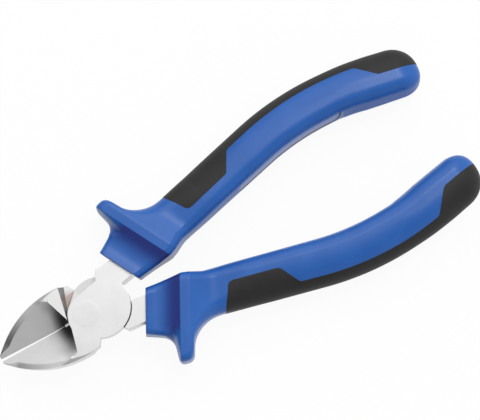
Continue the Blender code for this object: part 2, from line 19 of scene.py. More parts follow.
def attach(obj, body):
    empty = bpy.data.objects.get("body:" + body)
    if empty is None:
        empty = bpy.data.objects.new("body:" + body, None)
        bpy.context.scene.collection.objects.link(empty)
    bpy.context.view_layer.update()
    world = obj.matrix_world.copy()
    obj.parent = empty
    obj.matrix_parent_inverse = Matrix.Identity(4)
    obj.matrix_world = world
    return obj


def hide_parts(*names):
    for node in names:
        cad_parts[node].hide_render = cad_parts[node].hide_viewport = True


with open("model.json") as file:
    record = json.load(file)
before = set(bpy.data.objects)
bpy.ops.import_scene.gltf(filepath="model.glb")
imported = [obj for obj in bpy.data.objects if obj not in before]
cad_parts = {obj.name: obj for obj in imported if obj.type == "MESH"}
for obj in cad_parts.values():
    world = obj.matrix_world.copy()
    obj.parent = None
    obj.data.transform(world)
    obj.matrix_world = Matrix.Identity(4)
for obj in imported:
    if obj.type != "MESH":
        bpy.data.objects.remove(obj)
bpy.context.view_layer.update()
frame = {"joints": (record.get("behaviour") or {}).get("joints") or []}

MM = 0.001
PIVOT = np.array(frame["joints"][0]["pos_m"])
TURNED_OVER = {"front": np.array([1.0, 1.0, 1.0]), "rear": np.array([1.0, -1.0, -1.0])}

# Head: the forged halves and the rivet
HALF_THICKNESS = 5.25
LAP_HALF_GAP = 0.1
JAW_REACH = 29.9
JAW_HALF_WIDTH = 11.5
JAW_WIDEST_AHEAD = 6.5
HEEL_AHEAD = 1.2
HEEL_RUN = 1.4
DISC_RADIUS = 9.85
DISC_BEHIND = 4.5
JOINT_GAP = 0.4
EDGE_LAND = 0.3
BEVEL_RISE = math.tan(math.radians(26.2))
HOLLOW_AT = 7.8
HOLLOW_RISE = 2.16
HOLLOW_FADES = 2.4
HOLLOW_SWEEP = 0.2
HOLLOW_EASES = 0.6
HOLLOW_EASES_SIDE = (6.5, 10.0)
LIFT_SIDE = (4.5, 8.5)
LIFT_AHEAD = (7.7, 12.5)
BEVEL_BACK_AHEAD = 6.15
RELIEF_LENGTH = 1.5
RELIEF_DEPTH = 0.35
SWING_CORNER = (-4.7, 4.9, 6.0)
SHOULDER = (7.4, 7.55)
TANG_CORNERS = ((9.1, 10.6), (7.66, 8.52))
WALL_AHEAD_INNER = 6.31
WALL_AHEAD_OUTER = 3.9
WALL_DRAFT = 1.6
WALL_LEAST_RUN = 0.02
LAP_ARC_RUN = 0.03
TANG_OUTER_SIDE = 11.0
TANG_INNER_SIDE = 2.9
TANG_BLOCK_DEPTH = 7.0
TAIL_HALF_WIDTH = 2.9
TAIL_HALF_HEIGHT = 2.6
TAIL_CORNER = 0.6
TAIL_END = 89.8
RIVET_RADIUS = 4.2
RIVET_FLAT_RINGS = (0.0, 2.0, 3.4, 4.1)
RIVET_PROUD = 0.01
RIVET_EDGE_FALL = 0.004
RIVET_EDGE_DEPTH = 0.2

# Chamfers of the forgings: the one along a jaw's outer edge grows to a broad band and narrows at the tip,
# and there is none near the throat and deep in the mouth of the grip
EDGE_CHAMFER = 0.06
JAW_CHAMFER = 1.7
TIP_CHAMFER = 0.12
BAND_GROWS = (2.0, 16.0)
BAND_NARROWS = 26.5
THROAT_SHARP = 1.2
MOUTH_SHARP = 3.0
MITRE_LIMIT = 0.4

# Dulling of the forgings and painted shade on them, where 0 is bright, and the stretches over which it comes
# or goes. Painted shade darkens the throat, the jaw's drafted wall, the lap by the joint and the gap; the
# band and the tip are darkened partly as a duller finish and partly as painted shade
THROAT_PAINTED_SHADE = 0.95
THROAT_REACH = (1.5, 5.6)
THROAT_SIDE_SHARE = 0.45
WALL_PAINTED_SHADE = 0.65
WALL_ENDS = (0.02, 0.98)
LAP_PAINTED_SHADE = 0.15
LAP_SHADE_AHEAD = (-1.0, 2.0)
GAP_PAINTED_SHADE = 0.5
GAP_SHADE_SIDE = (5.4, 7.0)
WARM_AHEAD = (1.2, 2.6)
WARM_SIDE = (8.2, 10.2)
BAND_DULL_AND_SHADE_AHEAD = (6.0, 10.0)
TIP_DULL_AND_SHADE_AHEAD = (17.0, 28.0)

# Grip in plan
RIM = np.array([16.0, 7.85])
FRONT_ANGLE = math.radians(13.9)
FRONT_RUN = 76.8
REAR_ANGLE = math.radians(-11.2)
REAR_RUN = 39.1
BEND_RADIUS = 90.0
RIM_SKEW = math.radians(14.1)
END_SKEW = math.radians(8)
SKEW_EASE = (16.0, 34.0)
END_ROUND_LENGTH = 8.2
END_ROUND_POWER = 2.2
BEND_TANGENT = BEND_RADIUS * math.tan((FRONT_ANGLE - REAR_ANGLE) / 2)
BEND_START = FRONT_RUN - BEND_TANGENT
BEND_END = BEND_START + BEND_RADIUS * (FRONT_ANGLE - REAR_ANGLE)
GRIP_LENGTH = BEND_END + REAR_RUN - BEND_TANGENT
END_ROUND_AT = GRIP_LENGTH - END_ROUND_LENGTH

# Grip widths and heights: corners of (distance along, size, rounding)
RIM_OUTER = 7.5
WAIST = 7.6
END_WIDTH = 8.4
GUARD_REACH = 19.3
CREST_HALF_HEIGHT = 8.8
CREST_FRONT = 11.7
CREST_BACK = 14.6
BODY_HALF_HEIGHT = 7.1
OUTER_WIDTH_CORNERS = (
    (0, RIM_OUTER, 0),
    (9.3, 10.5, 7),
    (11.3, GUARD_REACH, 2.0),
    (15.8, GUARD_REACH, 1.8),
    (16.2, 8.1, 8),
    (24, 7.1, 6),
    (40, 7.3, 0),
    (58, 7.3, 0),
    (86, 7.3, 20),
    (100, 7.7, 0),
    (GRIP_LENGTH, 7.7, 0),
)
INNER_WIDTH_CORNERS = (
    (0, 7.0, 0),
    (12.2, 8.6, 4),
    (19, WAIST, 8),
    (52, WAIST + 0.3, 0),
    (86.2, WAIST + 0.5, 0),
    (87.6, WAIST + 0.6, 0),
    (96, END_WIDTH + 0.2, 0),
    (GRIP_LENGTH, END_WIDTH, 0),
)
HEIGHT_CORNERS = (
    (0, 6.9, 0),
    (5.8, 5.35, 10),
    (CREST_FRONT, CREST_HALF_HEIGHT, 0.25),
    (CREST_BACK, CREST_HALF_HEIGHT, 3.0),
    (22.5, 6.5, 12),
    (33, BODY_HALF_HEIGHT, 10),
    (96, BODY_HALF_HEIGHT, 0),
    (GRIP_LENGTH, 6.8, 0),
)

# Corners of the grip's section: (distance along, how far the corner comes down, how far it runs over the
# top), with the lean of the inner side, of which only a share is left below the parting line
OUTER_CORNER = (
    (0, 1.6, 1.6),
    (7, 1.6, 1.6),
    (9.4, 6.5, 6.5),
    (11, 7.0, 7.0),
    (CREST_FRONT, 2.4, 2.4),
    (CREST_BACK, 2.6, 2.6),
    (24, 4.4, 5.0),
    (34, 6.9, 9.7),
    (38, 6.9, 9.9),
    (84, 6.9, 9.9),
    (92, 6.6, 8.6),
)
INNER_CORNER = (
    (0, 2.6, 2.6, 0),
    (CREST_BACK, 2.4, 2.4, 0),
    (19, 3.6, 3.1, 0.08),
    (24, 4.0, 3.4, 0.12),
    (40, 3.6, 4.2, 0.18),
    (82, 3.6, 4.2, 0.18),
    (91, 4.4, 4.6, 0.32),
)
LOWER_LEAN = 0.4

# Mouth of the grip round the tang: widths at the rim and at its floor
MOUTH_DEPTH = 6.7
MOUTH_HALF_HEIGHT = 5.55
MOUTH_OUTER = (4.0, 3.8)
MOUTH_INNER = (4.85, 5.25)
MOUTH_CORNER = 0.6
MOUTH_EDGE = 0.2
MOUTH_ROWS = (MOUTH_DEPTH, 0.6 * MOUTH_DEPTH, 1.0, 0.25)
RIM_ROUND = 0.3
RIM_LEAN = 0.75
RIM_LEAN_FADES = 9.0
# Painted shade on the body: over the scoop up to the foot of the guard's crest, fading out towards the
# guard's ends, and on the rim's face
SCOOP_SHADE = (4.0, 10.8)
SCOOP_SHADE_ACROSS = (7.5, 11.0)
CREST_FREE = 0.05
RIM_SHADE = (0.3, 0.9)

# Overlay: its edge in (distance along, place across, rounding), and how it stands on the body
OVERLAY_CORNER = 1.9
OVERLAY_RUNS_OUT = GRIP_LENGTH + 5
OVERLAY_START_CORNERS = (
    (22.2, GUARD_REACH, 0),
    (27.4, -1.9, OVERLAY_CORNER),
    (43.9, -1.7, OVERLAY_CORNER),
    (49.2, 4.0, OVERLAY_CORNER),
)
OVERLAY_END_CORNERS = {
    "front": ((95.2, 4.35, OVERLAY_CORNER), (102.0, -0.15, OVERLAY_CORNER), (OVERLAY_RUNS_OUT, -0.15, 0)),
    "rear": ((95.6, 4.3, OVERLAY_CORNER), (102.6, -1.6, OVERLAY_CORNER), (OVERLAY_RUNS_OUT, -1.6, 0)),
}
OVERLAY_FIRST = 23.0
OVERLAY_PROUD = 0.04
OVERLAY_SUNK = 0.30
OVERLAY_ROLL = 0.28
OVERLAY_UNDERSIDE = 0.6
OVERLAY_LEAST_WIDTH = 0.02

# Panel of the core on the inner side, and the line of painted shade along it
PANEL_START = 44.0
PANEL_END = 87.4
PANEL_HALF_HEIGHT = 5.6
PANEL_PROUD = 0.02
PANEL_ROLL = 0.2
PANEL_UNDERSIDE = 0.8
PANEL_END_POWER = 4
PARTING = 0.0
SHADE_LINE_HALF_WIDTH = (0.7, 0.28)
SHADE_LINE_NARROWS = 2.0
SHADE_LINE_SOFT = 0.15
SEAM_AT = 86.2
SEAM_ROUND = 4.2
SEAM_ENDS = (4.2, 5.0)

# How finely the grips are divided. A stretch is (where it ends, how many rows it has)
PATH_ARC_STEP = math.radians(3)
PATH_ARC_LEAST = 3
SKIN_COLUMNS = 160
SKIN_STRETCHES = ((7.0, 28), (20.0, 130), (36.0, 64), (END_ROUND_AT, 130))
END_ROWS = 44
RIM_ROWS = 8
OVERLAY_COLUMNS = 61
OVERLAY_STRETCHES = ((36.0, 90), (56.0, 90))
ROW_DIGITS = 4
PANEL_COLUMNS = 97
PANEL_ROWS = 60
PANEL_END_ROWS = 48
NORMAL_STEPS = (0.02, 0.002)
NORMAL_LIMIT = 0.995

# How finely the forgings and the rivet are divided, and how far the lines of a plan keep off its border
JAW_POINTS = 120
DISC_POINTS = 90
OUTLINE_STEP = 0.35
CUTTING_EDGE_STEP = 0.12
CHAMFER_ROWS = 4
GRIND_COLUMNS = 50
GRIND_ROWS = 26
GRIND_LENGTH = 14.5
GRIND_ROW_POWER = 2.2
BACK_LINE_STEP = 0.015
BACK_LINE_WIDTH = 0.004
BACK_LINE_ROUNDS = 8
RIDGE_AHEAD = (BEVEL_BACK_AHEAD + 1, 19.0)
RIDGE_POINTS = 120
RIDGE_GUESS = 9.0
RIDGE_ROUNDS = 30
RIDGE_STEP = 0.5
WALL_SIDES = (RELIEF_DEPTH + 0.05, 10.9)
WALL_POINTS = 40
LAP_ARC = (math.asin(0.335), math.radians(66))
LAP_ARC_POINTS = 70
BORDER_CLEARANCE = 0.1
BAND_CLEARANCE = 0.2
RELIEF_CLEARANCE = 0.1
EDGE_CLEARANCE = 0.04
RIDGE_CLEARANCE = 0.02
TAIL_COLUMNS = 24
TAIL_ROWS = 40
RIVET_COLUMNS = 96

# Creases sharper than these angles stay sharp. Points are merged in metres, and in a plan in millimetres
SKIN_CREASE = math.radians(40)
COVER_CREASE = math.radians(50)
FORGING_CREASE = math.radians(26)
RIVET_CREASE = math.radians(40)
MERGE_DISTANCE = 2e-7
PLAN_MERGE_DISTANCE = 1e-5

# Least values that keep divisions and roots sound, and the least spread of a triangle that is kept
LEAST_LENGTH = 1e-9
LEAST_TURN = 1e-6
LEAST_NORMAL = 1e-12
LEAST_SHARE = 1e-8
LEAST_SPREAD = 1e-6


def unit(angle):
    """Unit vectors in plan at angles from +X."""
    return np.stack([np.cos(angle), np.sin(angle)], axis=-1)


def eased(value, start, end):
    """Smooth step: three times the share squared less twice its cube."""
    share = np.clip((value - start) / (end - start), 0.0, 1.0)
    return share * share * (3 - 2 * share)


def rounded(corners):
    """Open path through (x, y, radius) corners, each turned by an arc that touches both of its sides."""
    runs = []
    for place, (x, y, radius) in enumerate(corners):
        here = np.array((x, y), float)
        if radius == 0 or place in (0, len(corners) - 1):
            runs.append(here[None])
            continue
        back = np.array(corners[place - 1][:2]) - here
        ahead = np.array(corners[place + 1][:2]) - here
        back /= np.linalg.norm(back)
        ahead /= np.linalg.norm(ahead)
        half = math.acos(np.clip(back @ ahead, -1, 1)) / 2
        middle = (back + ahead) / np.linalg.norm(back + ahead)
        centre = here + middle * radius / math.sin(half)
        first = here + back * radius / math.tan(half) - centre
        turn = math.pi - 2 * half
        side = 1 if back[0] * ahead[1] - back[1] * ahead[0] < 0 else -1
        steps = max(PATH_ARC_LEAST, math.ceil(turn / PATH_ARC_STEP))
        angles = math.atan2(first[1], first[0]) + side * turn * np.linspace(0, 1, steps + 1)
        runs.append(centre + unit(angles) * radius)
    return np.concatenate(runs)


OUTER_WIDTHS = rounded(OUTER_WIDTH_CORNERS)
INNER_WIDTHS = rounded(INNER_WIDTH_CORNERS)
HEIGHTS = rounded(HEIGHT_CORNERS)
OVERLAY_EDGES = {
    body: rounded((*OVERLAY_START_CORNERS, *end)) for body, end in OVERLAY_END_CORNERS.items()
}


def along_path(path, along):
    """Second coordinate of a path where its first one is a distance along."""
    return np.interp(along, path[:, 0], path[:, 1])


def stretched(start, stretches):
    """Rows evenly spaced over each of a run of stretches, without the start itself."""
    starts = (start, *(end for end, _ in stretches))
    runs = [np.linspace(first, end, rows)[1:] for first, (end, rows) in zip(starts, stretches)]
    return np.concatenate(runs)


def loop_shares(columns):
    """Shares round a section, evenly spaced and clear of its innermost line."""
    return np.linspace(-1, 1, columns, endpoint=False) + 1 / columns


def spine(along):
    """Middle line of the grip: a straight run, an arc of the bend radius and a straight run."""
    heading = np.clip(FRONT_ANGLE - (along - BEND_START) / BEND_RADIUS, REAR_ANGLE, FRONT_ANGLE)
    centre = RIM + unit(FRONT_ANGLE) * BEND_START + unit(FRONT_ANGLE - math.pi / 2) * BEND_RADIUS
    before = np.minimum(along - BEND_START, 0)[..., None]
    past = np.maximum(along - BEND_END, 0)[..., None]
    turned = centre + unit(heading + math.pi / 2) * BEND_RADIUS
    return turned + unit(FRONT_ANGLE) * before + unit(REAR_ANGLE) * past, heading


def in_plan(along, across):
    """Plan points at a distance along the middle line and across it on the skewed rib."""
    point, heading = spine(along)
    skew = RIM_SKEW * (1 - eased(along, *SKEW_EASE)) + END_SKEW * eased(along, BEND_END, END_ROUND_AT)
    return point + unit(heading + math.pi / 2 + skew) * np.asarray(across)[..., None]


class Section(NamedTuple):
    """Half widths, half height and corners of a rounded rectangle across the grip. A corner is a quarter of
    an ellipse: its rounding is how far it comes down, and its reach how far it runs over the top. The inner
    side leans inwards, by its lean for each millimetre up or down from the middle, and its corner stops
    turning where it meets that slope: at the angle whose tangent is its reach over its rounding times the
    lean."""

    outer: np.ndarray
    inner: np.ndarray
    height: np.ndarray
    round_outer: np.ndarray
    round_inner: np.ndarray
    reach_outer: np.ndarray
    reach_inner: np.ndarray
    lean: np.ndarray | float = 0.0

    def inner_turn(self):
        """How far the inner corner turns before it meets the slope of the inner side."""
        return np.maximum(np.arctan2(self.reach_inner, self.round_inner * self.lean), LEAST_TURN)

    def inner_side(self):
        """Height at which the inner side ends and its corner starts."""
        return self.height - self.round_inner * (1 - np.cos(self.inner_turn()))

    def inner_top(self):
        """Half width on the inner side, less its lean, from which the reach of its corner runs."""
        shortfall = self.reach_inner * (1 - np.sin(self.inner_turn()))
        return self.inner - self.lean * self.inner_side() + shortfall

    def runs(self):
        """Lengths along the upper half: outer side, outer corner, top, inner corner, inner side, and all."""
        runs = (
            self.height - self.round_outer,
            np.maximum(self.round_outer + self.reach_outer, LEAST_LENGTH) * math.pi / 4,
            self.outer + self.inner_top() - self.reach_outer - self.reach_inner,
            np.maximum(self.round_inner + self.reach_inner, LEAST_LENGTH) / 2 * self.inner_turn(),
            self.inner_side(),
        )
        return *runs, sum(runs)

    def at(self, around):
        """Place across and up at a share of the half perimeter: 0 is outermost, 1 innermost, and a negative
        share is below."""
        side, corner, top, corner_in, side_in, total = self.runs()
        run = np.abs(around) * total
        turn = np.clip((run - side) / corner, 0, 1) * math.pi / 2
        on_top = np.clip(run - side - corner, 0, top)
        turn_in = np.clip((run - side - corner - top) / corner_in, 0, 1) * self.inner_turn()
        down = np.clip(run - (total - side_in), 0, side_in)
        across = self.outer - self.reach_outer * (1 - np.cos(turn)) - on_top
        across = across - self.reach_inner * np.sin(turn_in) - self.lean * down
        up = np.minimum(run, side) + self.round_outer * np.sin(turn)
        up = up - self.round_inner * (1 - np.cos(turn_in)) - down
        return across, up * np.sign(around)

    def around_across(self, across):
        """Share of the half perimeter at which the upper half stands at a place across."""
        side, corner, top, corner_in, side_in, total = self.runs()
        out = (across - self.outer + self.reach_outer) / np.maximum(self.reach_outer, LEAST_LENGTH)
        inner = -across - self.inner_top() + self.reach_inner
        inner = inner / np.maximum(self.reach_inner, LEAST_LENGTH)
        on_corner = side + corner * np.arccos(np.clip(out, 0, 1)) / (math.pi / 2)
        on_top = side + corner + self.outer - self.reach_outer - across
        on_inner = side + corner + top + corner_in * np.arcsin(np.clip(inner, 0, 1)) / self.inner_turn()
        run = np.where(out > 0, on_corner, np.where(inner > 0, on_inner, on_top))
        return np.where(across >= self.outer, 0.0, run) / np.maximum(total, LEAST_LENGTH)

    def around_up(self, up):
        """Share of the half perimeter at which the inner side stands at a height."""
        *_, corner_in, side_in, total = self.runs()
        over = np.maximum(np.abs(up) - side_in, 0) / np.maximum(self.round_inner, LEAST_LENGTH)
        turn_in = np.arccos(np.clip(over + np.cos(self.inner_turn()), -1, 1))
        run = np.minimum(np.abs(up), side_in) + corner_in * (1 - turn_in / self.inner_turn())
        return (1 - run / total) * np.where(up < 0, -1, 1)


def skin_section(along, inset=0.0):
    """The body's section: widths and height from their paths, drawn in to a point over the rounded end."""
    share = np.clip((along - END_ROUND_AT) / END_ROUND_LENGTH, 0, 1)
    left = (1 - share**END_ROUND_POWER) ** (1 / END_ROUND_POWER)
    outer = along_path(OUTER_WIDTHS, along) - inset
    inner = along_path(INNER_WIDTHS, along) - inset
    height = along_path(HEIGHTS, along) - inset
    place_outer, down_outer, over_outer = zip(*OUTER_CORNER)
    place_inner, down_inner, over_inner, lean = zip(*INNER_CORNER)
    corners = (
        np.minimum(np.interp(along, place_outer, down_outer), height),
        np.minimum(np.interp(along, place_inner, down_inner), height),
        np.interp(along, place_outer, over_outer),
        np.interp(along, place_inner, over_inner),
        np.interp(along, place_inner, lean),
    )
    return Section(*(size * left for size in (outer, inner, height, *corners)))


def on_section(along, section, around):
    """Points round a section. The rim leans: it lies further along at its lower edge than at its upper
    one."""
    across, up = section.at(around)
    lean = RIM_LEAN / 2 * (1 - up / CREST_HALF_HEIGHT) * (1 - eased(along, 0, RIM_LEAN_FADES))
    return np.concatenate([in_plan(along + lean, across), up[..., None]], axis=-1)


def skin(along, around):
    """Point of the body's skin at a distance along the grip and a share round its section. Below the parting
    line the inner side leans less than above it."""
    along, around = np.broadcast_arrays(along, around)
    section = skin_section(along)
    section = section._replace(lean=section.lean * np.where(around < 0, LOWER_LEAN, 1.0))
    return on_section(along, section, around)


def skin_normal(along, around):
    """Outward normal of the skin, from the cross product of its two slopes."""
    step_along, step_around = NORMAL_STEPS
    around = np.clip(around, -NORMAL_LIMIT, NORMAL_LIMIT)
    run = skin(along + step_along, around) - skin(along - step_along, around)
    turn = skin(along, around + step_around) - skin(along, around - step_around)
    normal = np.cross(turn, run)
    return normal / np.maximum(np.linalg.norm(normal, axis=-1, keepdims=True), LEAST_NORMAL)


# Meshes


def mesh_piece(name, body, points, faces, material, slot, nodes, crease, attributes=None):
    """A piece of the object: points about the pivot, turned over for the rear body, set on the frame."""
    placed = points * TURNED_OVER[body] * MM + PIVOT
    mesh = bpy.data.meshes.new(name)
    mesh.from_pydata(placed.tolist(), [], faces)
    for label, values in (attributes or {}).items():
        layer = mesh.attributes.new(label, "FLOAT", "FACE" if len(values) == len(faces) else "POINT")
        layer.data.foreach_set("value", np.ascontiguousarray(values, np.float32).ravel())
    work = bmesh.new()
    work.from_mesh(mesh)
    bmesh.ops.remove_doubles(work, verts=work.verts, dist=MERGE_DISTANCE)
    bmesh.ops.recalc_face_normals(work, faces=work.faces)
    work.to_mesh(mesh)
    work.free()
    mesh.shade_smooth()
    mesh.set_sharp_from_angle(angle=crease)
    mesh.materials.append(material)
    piece = bpy.data.objects.new(name, mesh)
    bpy.context.scene.collection.objects.link(piece)
    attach(piece, body)
    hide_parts(*nodes)


def loop_quads(index):
    """Quads between rows of closed loops of point numbers."""
    beside = np.roll(index, -1, axis=1)
    return np.stack([index[:-1], beside[:-1], beside[1:], index[1:]], axis=-1).reshape(-1, 4).tolist()


def loop_faces(grid, capped=False):
    """Faces of a grid of closed loops, with the first and last loop filled where they aren't poles."""
    rows, columns = grid.shape[:2]
    index = np.arange(rows * columns).reshape(rows, columns)
    caps = [index[0, ::-1].tolist(), index[-1].tolist()] if capped else []
    return loop_quads(index) + caps


def loop_piece(name, body, grid, *settings, capped=False):
    """A piece of the object whose surface is a grid of closed loops."""
    mesh_piece(name, body, grid.reshape(-1, 3), loop_faces(grid, capped), *settings)


# Grip body


def skin_stations():
    """Distances of the skin's rows: closest over the guard, and drawn together over the rounded end."""
    turns = np.linspace(0, math.pi / 2, END_ROWS)[1:]
    end = END_ROUND_AT + END_ROUND_LENGTH * np.sin(turns)
    return np.concatenate([stretched(RIM_ROUND, SKIN_STRETCHES), end])


def mouth_section(along):
    """Section of the mouth: its widths run evenly from those at the rim to those at the floor."""
    share = along / MOUTH_DEPTH
    outer = MOUTH_OUTER[0] + (MOUTH_OUTER[1] - MOUTH_OUTER[0]) * share
    inner = MOUTH_INNER[0] + (MOUTH_INNER[1] - MOUTH_INNER[0]) * share
    height = np.full_like(along, MOUTH_HALF_HEIGHT)
    corner = np.full_like(along, MOUTH_CORNER)
    return Section(outer, inner, height, corner, corner, corner, corner)


def body_grid():
    """Loops from the floor of the mouth out to the rim, round the rim's edge and over the skin to its end,
    with the share of each point in the painted shade: in the mouth, on the rim's face and at the foot of the
    guard's crest."""
    around = loop_shares(SKIN_COLUMNS)
    wall = np.array(MOUTH_ROWS)[:, None] + 0 * around
    mouth = on_section(wall, mouth_section(wall), around)
    floor = np.broadcast_to(mouth[0].mean(axis=0), mouth[0].shape)[None]
    edge = mouth_section(np.zeros_like(around))
    edge = Section(*(size + MOUTH_EDGE for size in edge[:3]), *edge[3:])
    mouth_edge = on_section(np.zeros_like(around), edge, around)[None]
    turns = np.linspace(math.pi / 2, 0, RIM_ROWS)[:, None] + 0 * around
    lip_along = RIM_ROUND * (1 - np.sin(turns))
    lip = on_section(lip_along, skin_section(lip_along, RIM_ROUND * (1 - np.cos(turns))), around)
    stations = skin_stations()[:, None] + 0 * around
    grid = np.concatenate([floor, mouth, mouth_edge, lip, skin(stations, around)])
    across = skin_section(stations).at(around)[0]
    shade = eased(stations, *SCOOP_SHADE) * (stations < CREST_FRONT - CREST_FREE)
    shade = shade * (1 - eased(across, *SCOOP_SHADE_ACROSS))
    shade = np.maximum(shade, 1 - eased(stations, *RIM_SHADE))
    inside = np.ones((len(grid) - len(stations) - len(lip), SKIN_COLUMNS))
    return grid, np.concatenate([inside, np.sin(turns) ** 2, shade])


def make_grip_body(body, material):
    grid, shade = body_grid()
    loop_piece(
        f"{body}_grip_shell",
        body,
        grid,
        material,
        "grip_blue",
        [f"{body}_grip_body"],
        SKIN_CREASE,
        {"shade": shade.ravel()},
    )


# Overlay and panel, which lie on the skin


def rolled(distance, proud, sunk, roll):
    """Height over the skin at a distance inside an edge: from sunk below it, round to proud of it."""
    share = np.clip(distance / roll, 0, 1)
    return -sunk + (proud + sunk) * np.sqrt(1 - (1 - share) ** 2)


def laid_on(along, around, height, underside):
    """Loops that run over the skin at a height along its normal, and back at a depth below it."""
    place = skin(along, around)
    normal = skin_normal(along, around)
    outside = place + normal * height[..., None]
    below = place - normal * underside
    return np.concatenate([outside, below[:, ::-1]], axis=1)


def overlay_grid(body):
    """Loops over the overlay's outside, from its upper edge round the outer side to its lower edge, and back
    below the skin. The upper edge follows the overlay's outline, and the lower one mirrors it."""
    close = stretched(OVERLAY_FIRST, OVERLAY_STRETCHES)
    stations = np.concatenate([[OVERLAY_FIRST], close, skin_stations()])
    stations = np.unique(np.round(stations[stations >= OVERLAY_FIRST], ROW_DIGITS))
    section = skin_section(stations)
    edge = along_path(OVERLAY_EDGES[body], stations)
    shown = edge < section.outer - OVERLAY_LEAST_WIDTH
    section = Section(*(size[shown] for size in section))
    half = section.around_across(edge[shown])[:, None]
    half_run = section.runs()[-1][:, None]
    around = half * np.sin(np.linspace(-math.pi / 2, math.pi / 2, OVERLAY_COLUMNS))
    inside = (half - np.abs(around)) * half_run
    height = rolled(inside, OVERLAY_PROUD, OVERLAY_SUNK, OVERLAY_ROLL)
    return laid_on(stations[shown][:, None] + 0 * around, around, height, OVERLAY_UNDERSIDE)


def make_overlay(body, material):
    loop_piece(
        f"{body}_grip_cover",
        body,
        overlay_grid(body),
        material,
        "overlay_black",
        [f"{body}_grip_overlay"],
        COVER_CREASE,
        capped=True,
    )


def panel_grid():
    """Loops over a panel with round ends on the inner side, proud of the skin, and back below it, with the
    share of each point in its line of painted shade: along the parting line in its middle, turned up along
    the seam at its far end. An end is half of a superellipse."""
    nose = PANEL_HALF_HEIGHT * (1 - np.cos(np.linspace(0, math.pi / 2, PANEL_END_ROWS)))
    middle = np.linspace(PANEL_START + nose[-1], PANEL_END - nose[-1], PANEL_ROWS)[1:-1]
    stations = np.concatenate([PANEL_START + nose, middle, PANEL_END - nose[::-1]])
    ends = np.clip(np.minimum(stations - PANEL_START, PANEL_END - stations), 0, PANEL_HALF_HEIGHT)
    left = np.maximum(1 - (1 - ends / PANEL_HALF_HEIGHT) ** PANEL_END_POWER, LEAST_SHARE)
    reach = PANEL_HALF_HEIGHT * left[:, None] ** (1 / PANEL_END_POWER)
    up = reach * np.sin(np.linspace(-math.pi / 2, math.pi / 2, PANEL_COLUMNS))
    along = stations[:, None] + 0 * up
    inside = np.minimum(reach - np.abs(up), ends[:, None])
    height = rolled(inside, PANEL_PROUD, PANEL_PROUD, PANEL_ROLL)
    grid = laid_on(along, skin_section(along).around_up(up), height, PANEL_UNDERSIDE)
    past = np.maximum(along - SEAM_AT + SEAM_ROUND, 0)
    under = np.maximum(PARTING + SEAM_ROUND - up, 0)
    off = np.abs(np.hypot(past, under) - SEAM_ROUND)
    wide, narrow = SHADE_LINE_HALF_WIDTH
    width = wide + (narrow - wide) * eased(past, 0, SHADE_LINE_NARROWS)
    line = (1 - eased(off, width, width + SHADE_LINE_SOFT)) * (1 - eased(up, *SEAM_ENDS))
    return grid, np.concatenate([line, 0 * line], axis=1)


def make_panel(body, material):
    # The panel's mark line is the share of its line of painted shade
    grid, line = panel_grid()
    loop_piece(
        f"{body}_grip_panel",
        body,
        grid,
        material,
        "core_blue",
        [f"{body}_grip_core"],
        COVER_CREASE,
        {"line": line.ravel()},
        capped=True,
    )


# Forgings


class Jaw(NamedTuple):
    """What differs between the two jaws, which are ground by hand. The back line of the grinding starts
    ahead of the pivot and sweeps on with each millimetre to the side, and the wheel's run-out lifts its
    outer end. The band along the outer edge falls by its own slope, and the band and the tip have their own
    darkening: partly a duller finish and partly painted shade."""

    tip_side: float
    edge_slope: float
    grind_start: float
    grind_sweep: float
    grind_lift: float
    band_fall: float
    band_dull_and_shade: float
    tip_dull_and_shade: float

    def radius(self):
        """Radius of the outer arc, which runs from the widest place to the tip."""
        run, rise = JAW_REACH - JAW_WIDEST_AHEAD, JAW_HALF_WIDTH - self.tip_side
        return (run**2 + rise**2) / (2 * rise)

    def side(self, ahead, inset):
        """Side of the outer arc, drawn in by an inset."""
        radius = self.radius()
        return np.sqrt((radius - inset) ** 2 - (ahead - JAW_WIDEST_AHEAD) ** 2) - radius + JAW_HALF_WIDTH


JAWS = {
    "front": Jaw(
        tip_side=0.75,
        edge_slope=0.0,
        grind_start=5.65,
        grind_sweep=0.255,
        grind_lift=0.2,
        band_fall=0.43,
        band_dull_and_shade=0.0,
        tip_dull_and_shade=0.15,
    ),
    "rear": Jaw(
        tip_side=1.77,
        edge_slope=math.tan(math.radians(1.5)),
        grind_start=5.65,
        grind_sweep=0.345,
        grind_lift=0.5,
        band_fall=0.55,
        band_dull_and_shade=0.16,
        tip_dull_and_shade=0.55,
    ),
}


def evenly(path, step):
    """A path with points added along its straight runs, no further apart than a step."""
    gaps = np.linalg.norm(np.diff(path, axis=0), axis=1)
    counts = np.maximum(np.ceil(gaps / step), 1).astype(int)
    start = np.repeat(np.arange(len(gaps)), counts)
    place = np.arange(counts.sum()) - np.repeat(np.cumsum(counts) - counts, counts)
    share = place / np.repeat(counts, counts)
    points = path[start] + (path[start + 1] - path[start]) * share[:, None]
    return np.concatenate([points, path[-1:]])


def tang_block():
    """The end of the tang's block in the mouth, and the corner where its outer side meets the rim."""
    depth = np.array([TANG_BLOCK_DEPTH, TANG_BLOCK_DEPTH])
    across = np.array([TANG_INNER_SIDE, TANG_OUTER_SIDE]) - RIM[1]
    corner = np.array([[RIM[0] - RIM_OUTER * math.sin(FRONT_ANGLE), TANG_OUTER_SIDE]])
    return np.concatenate([in_plan(depth, across), corner])


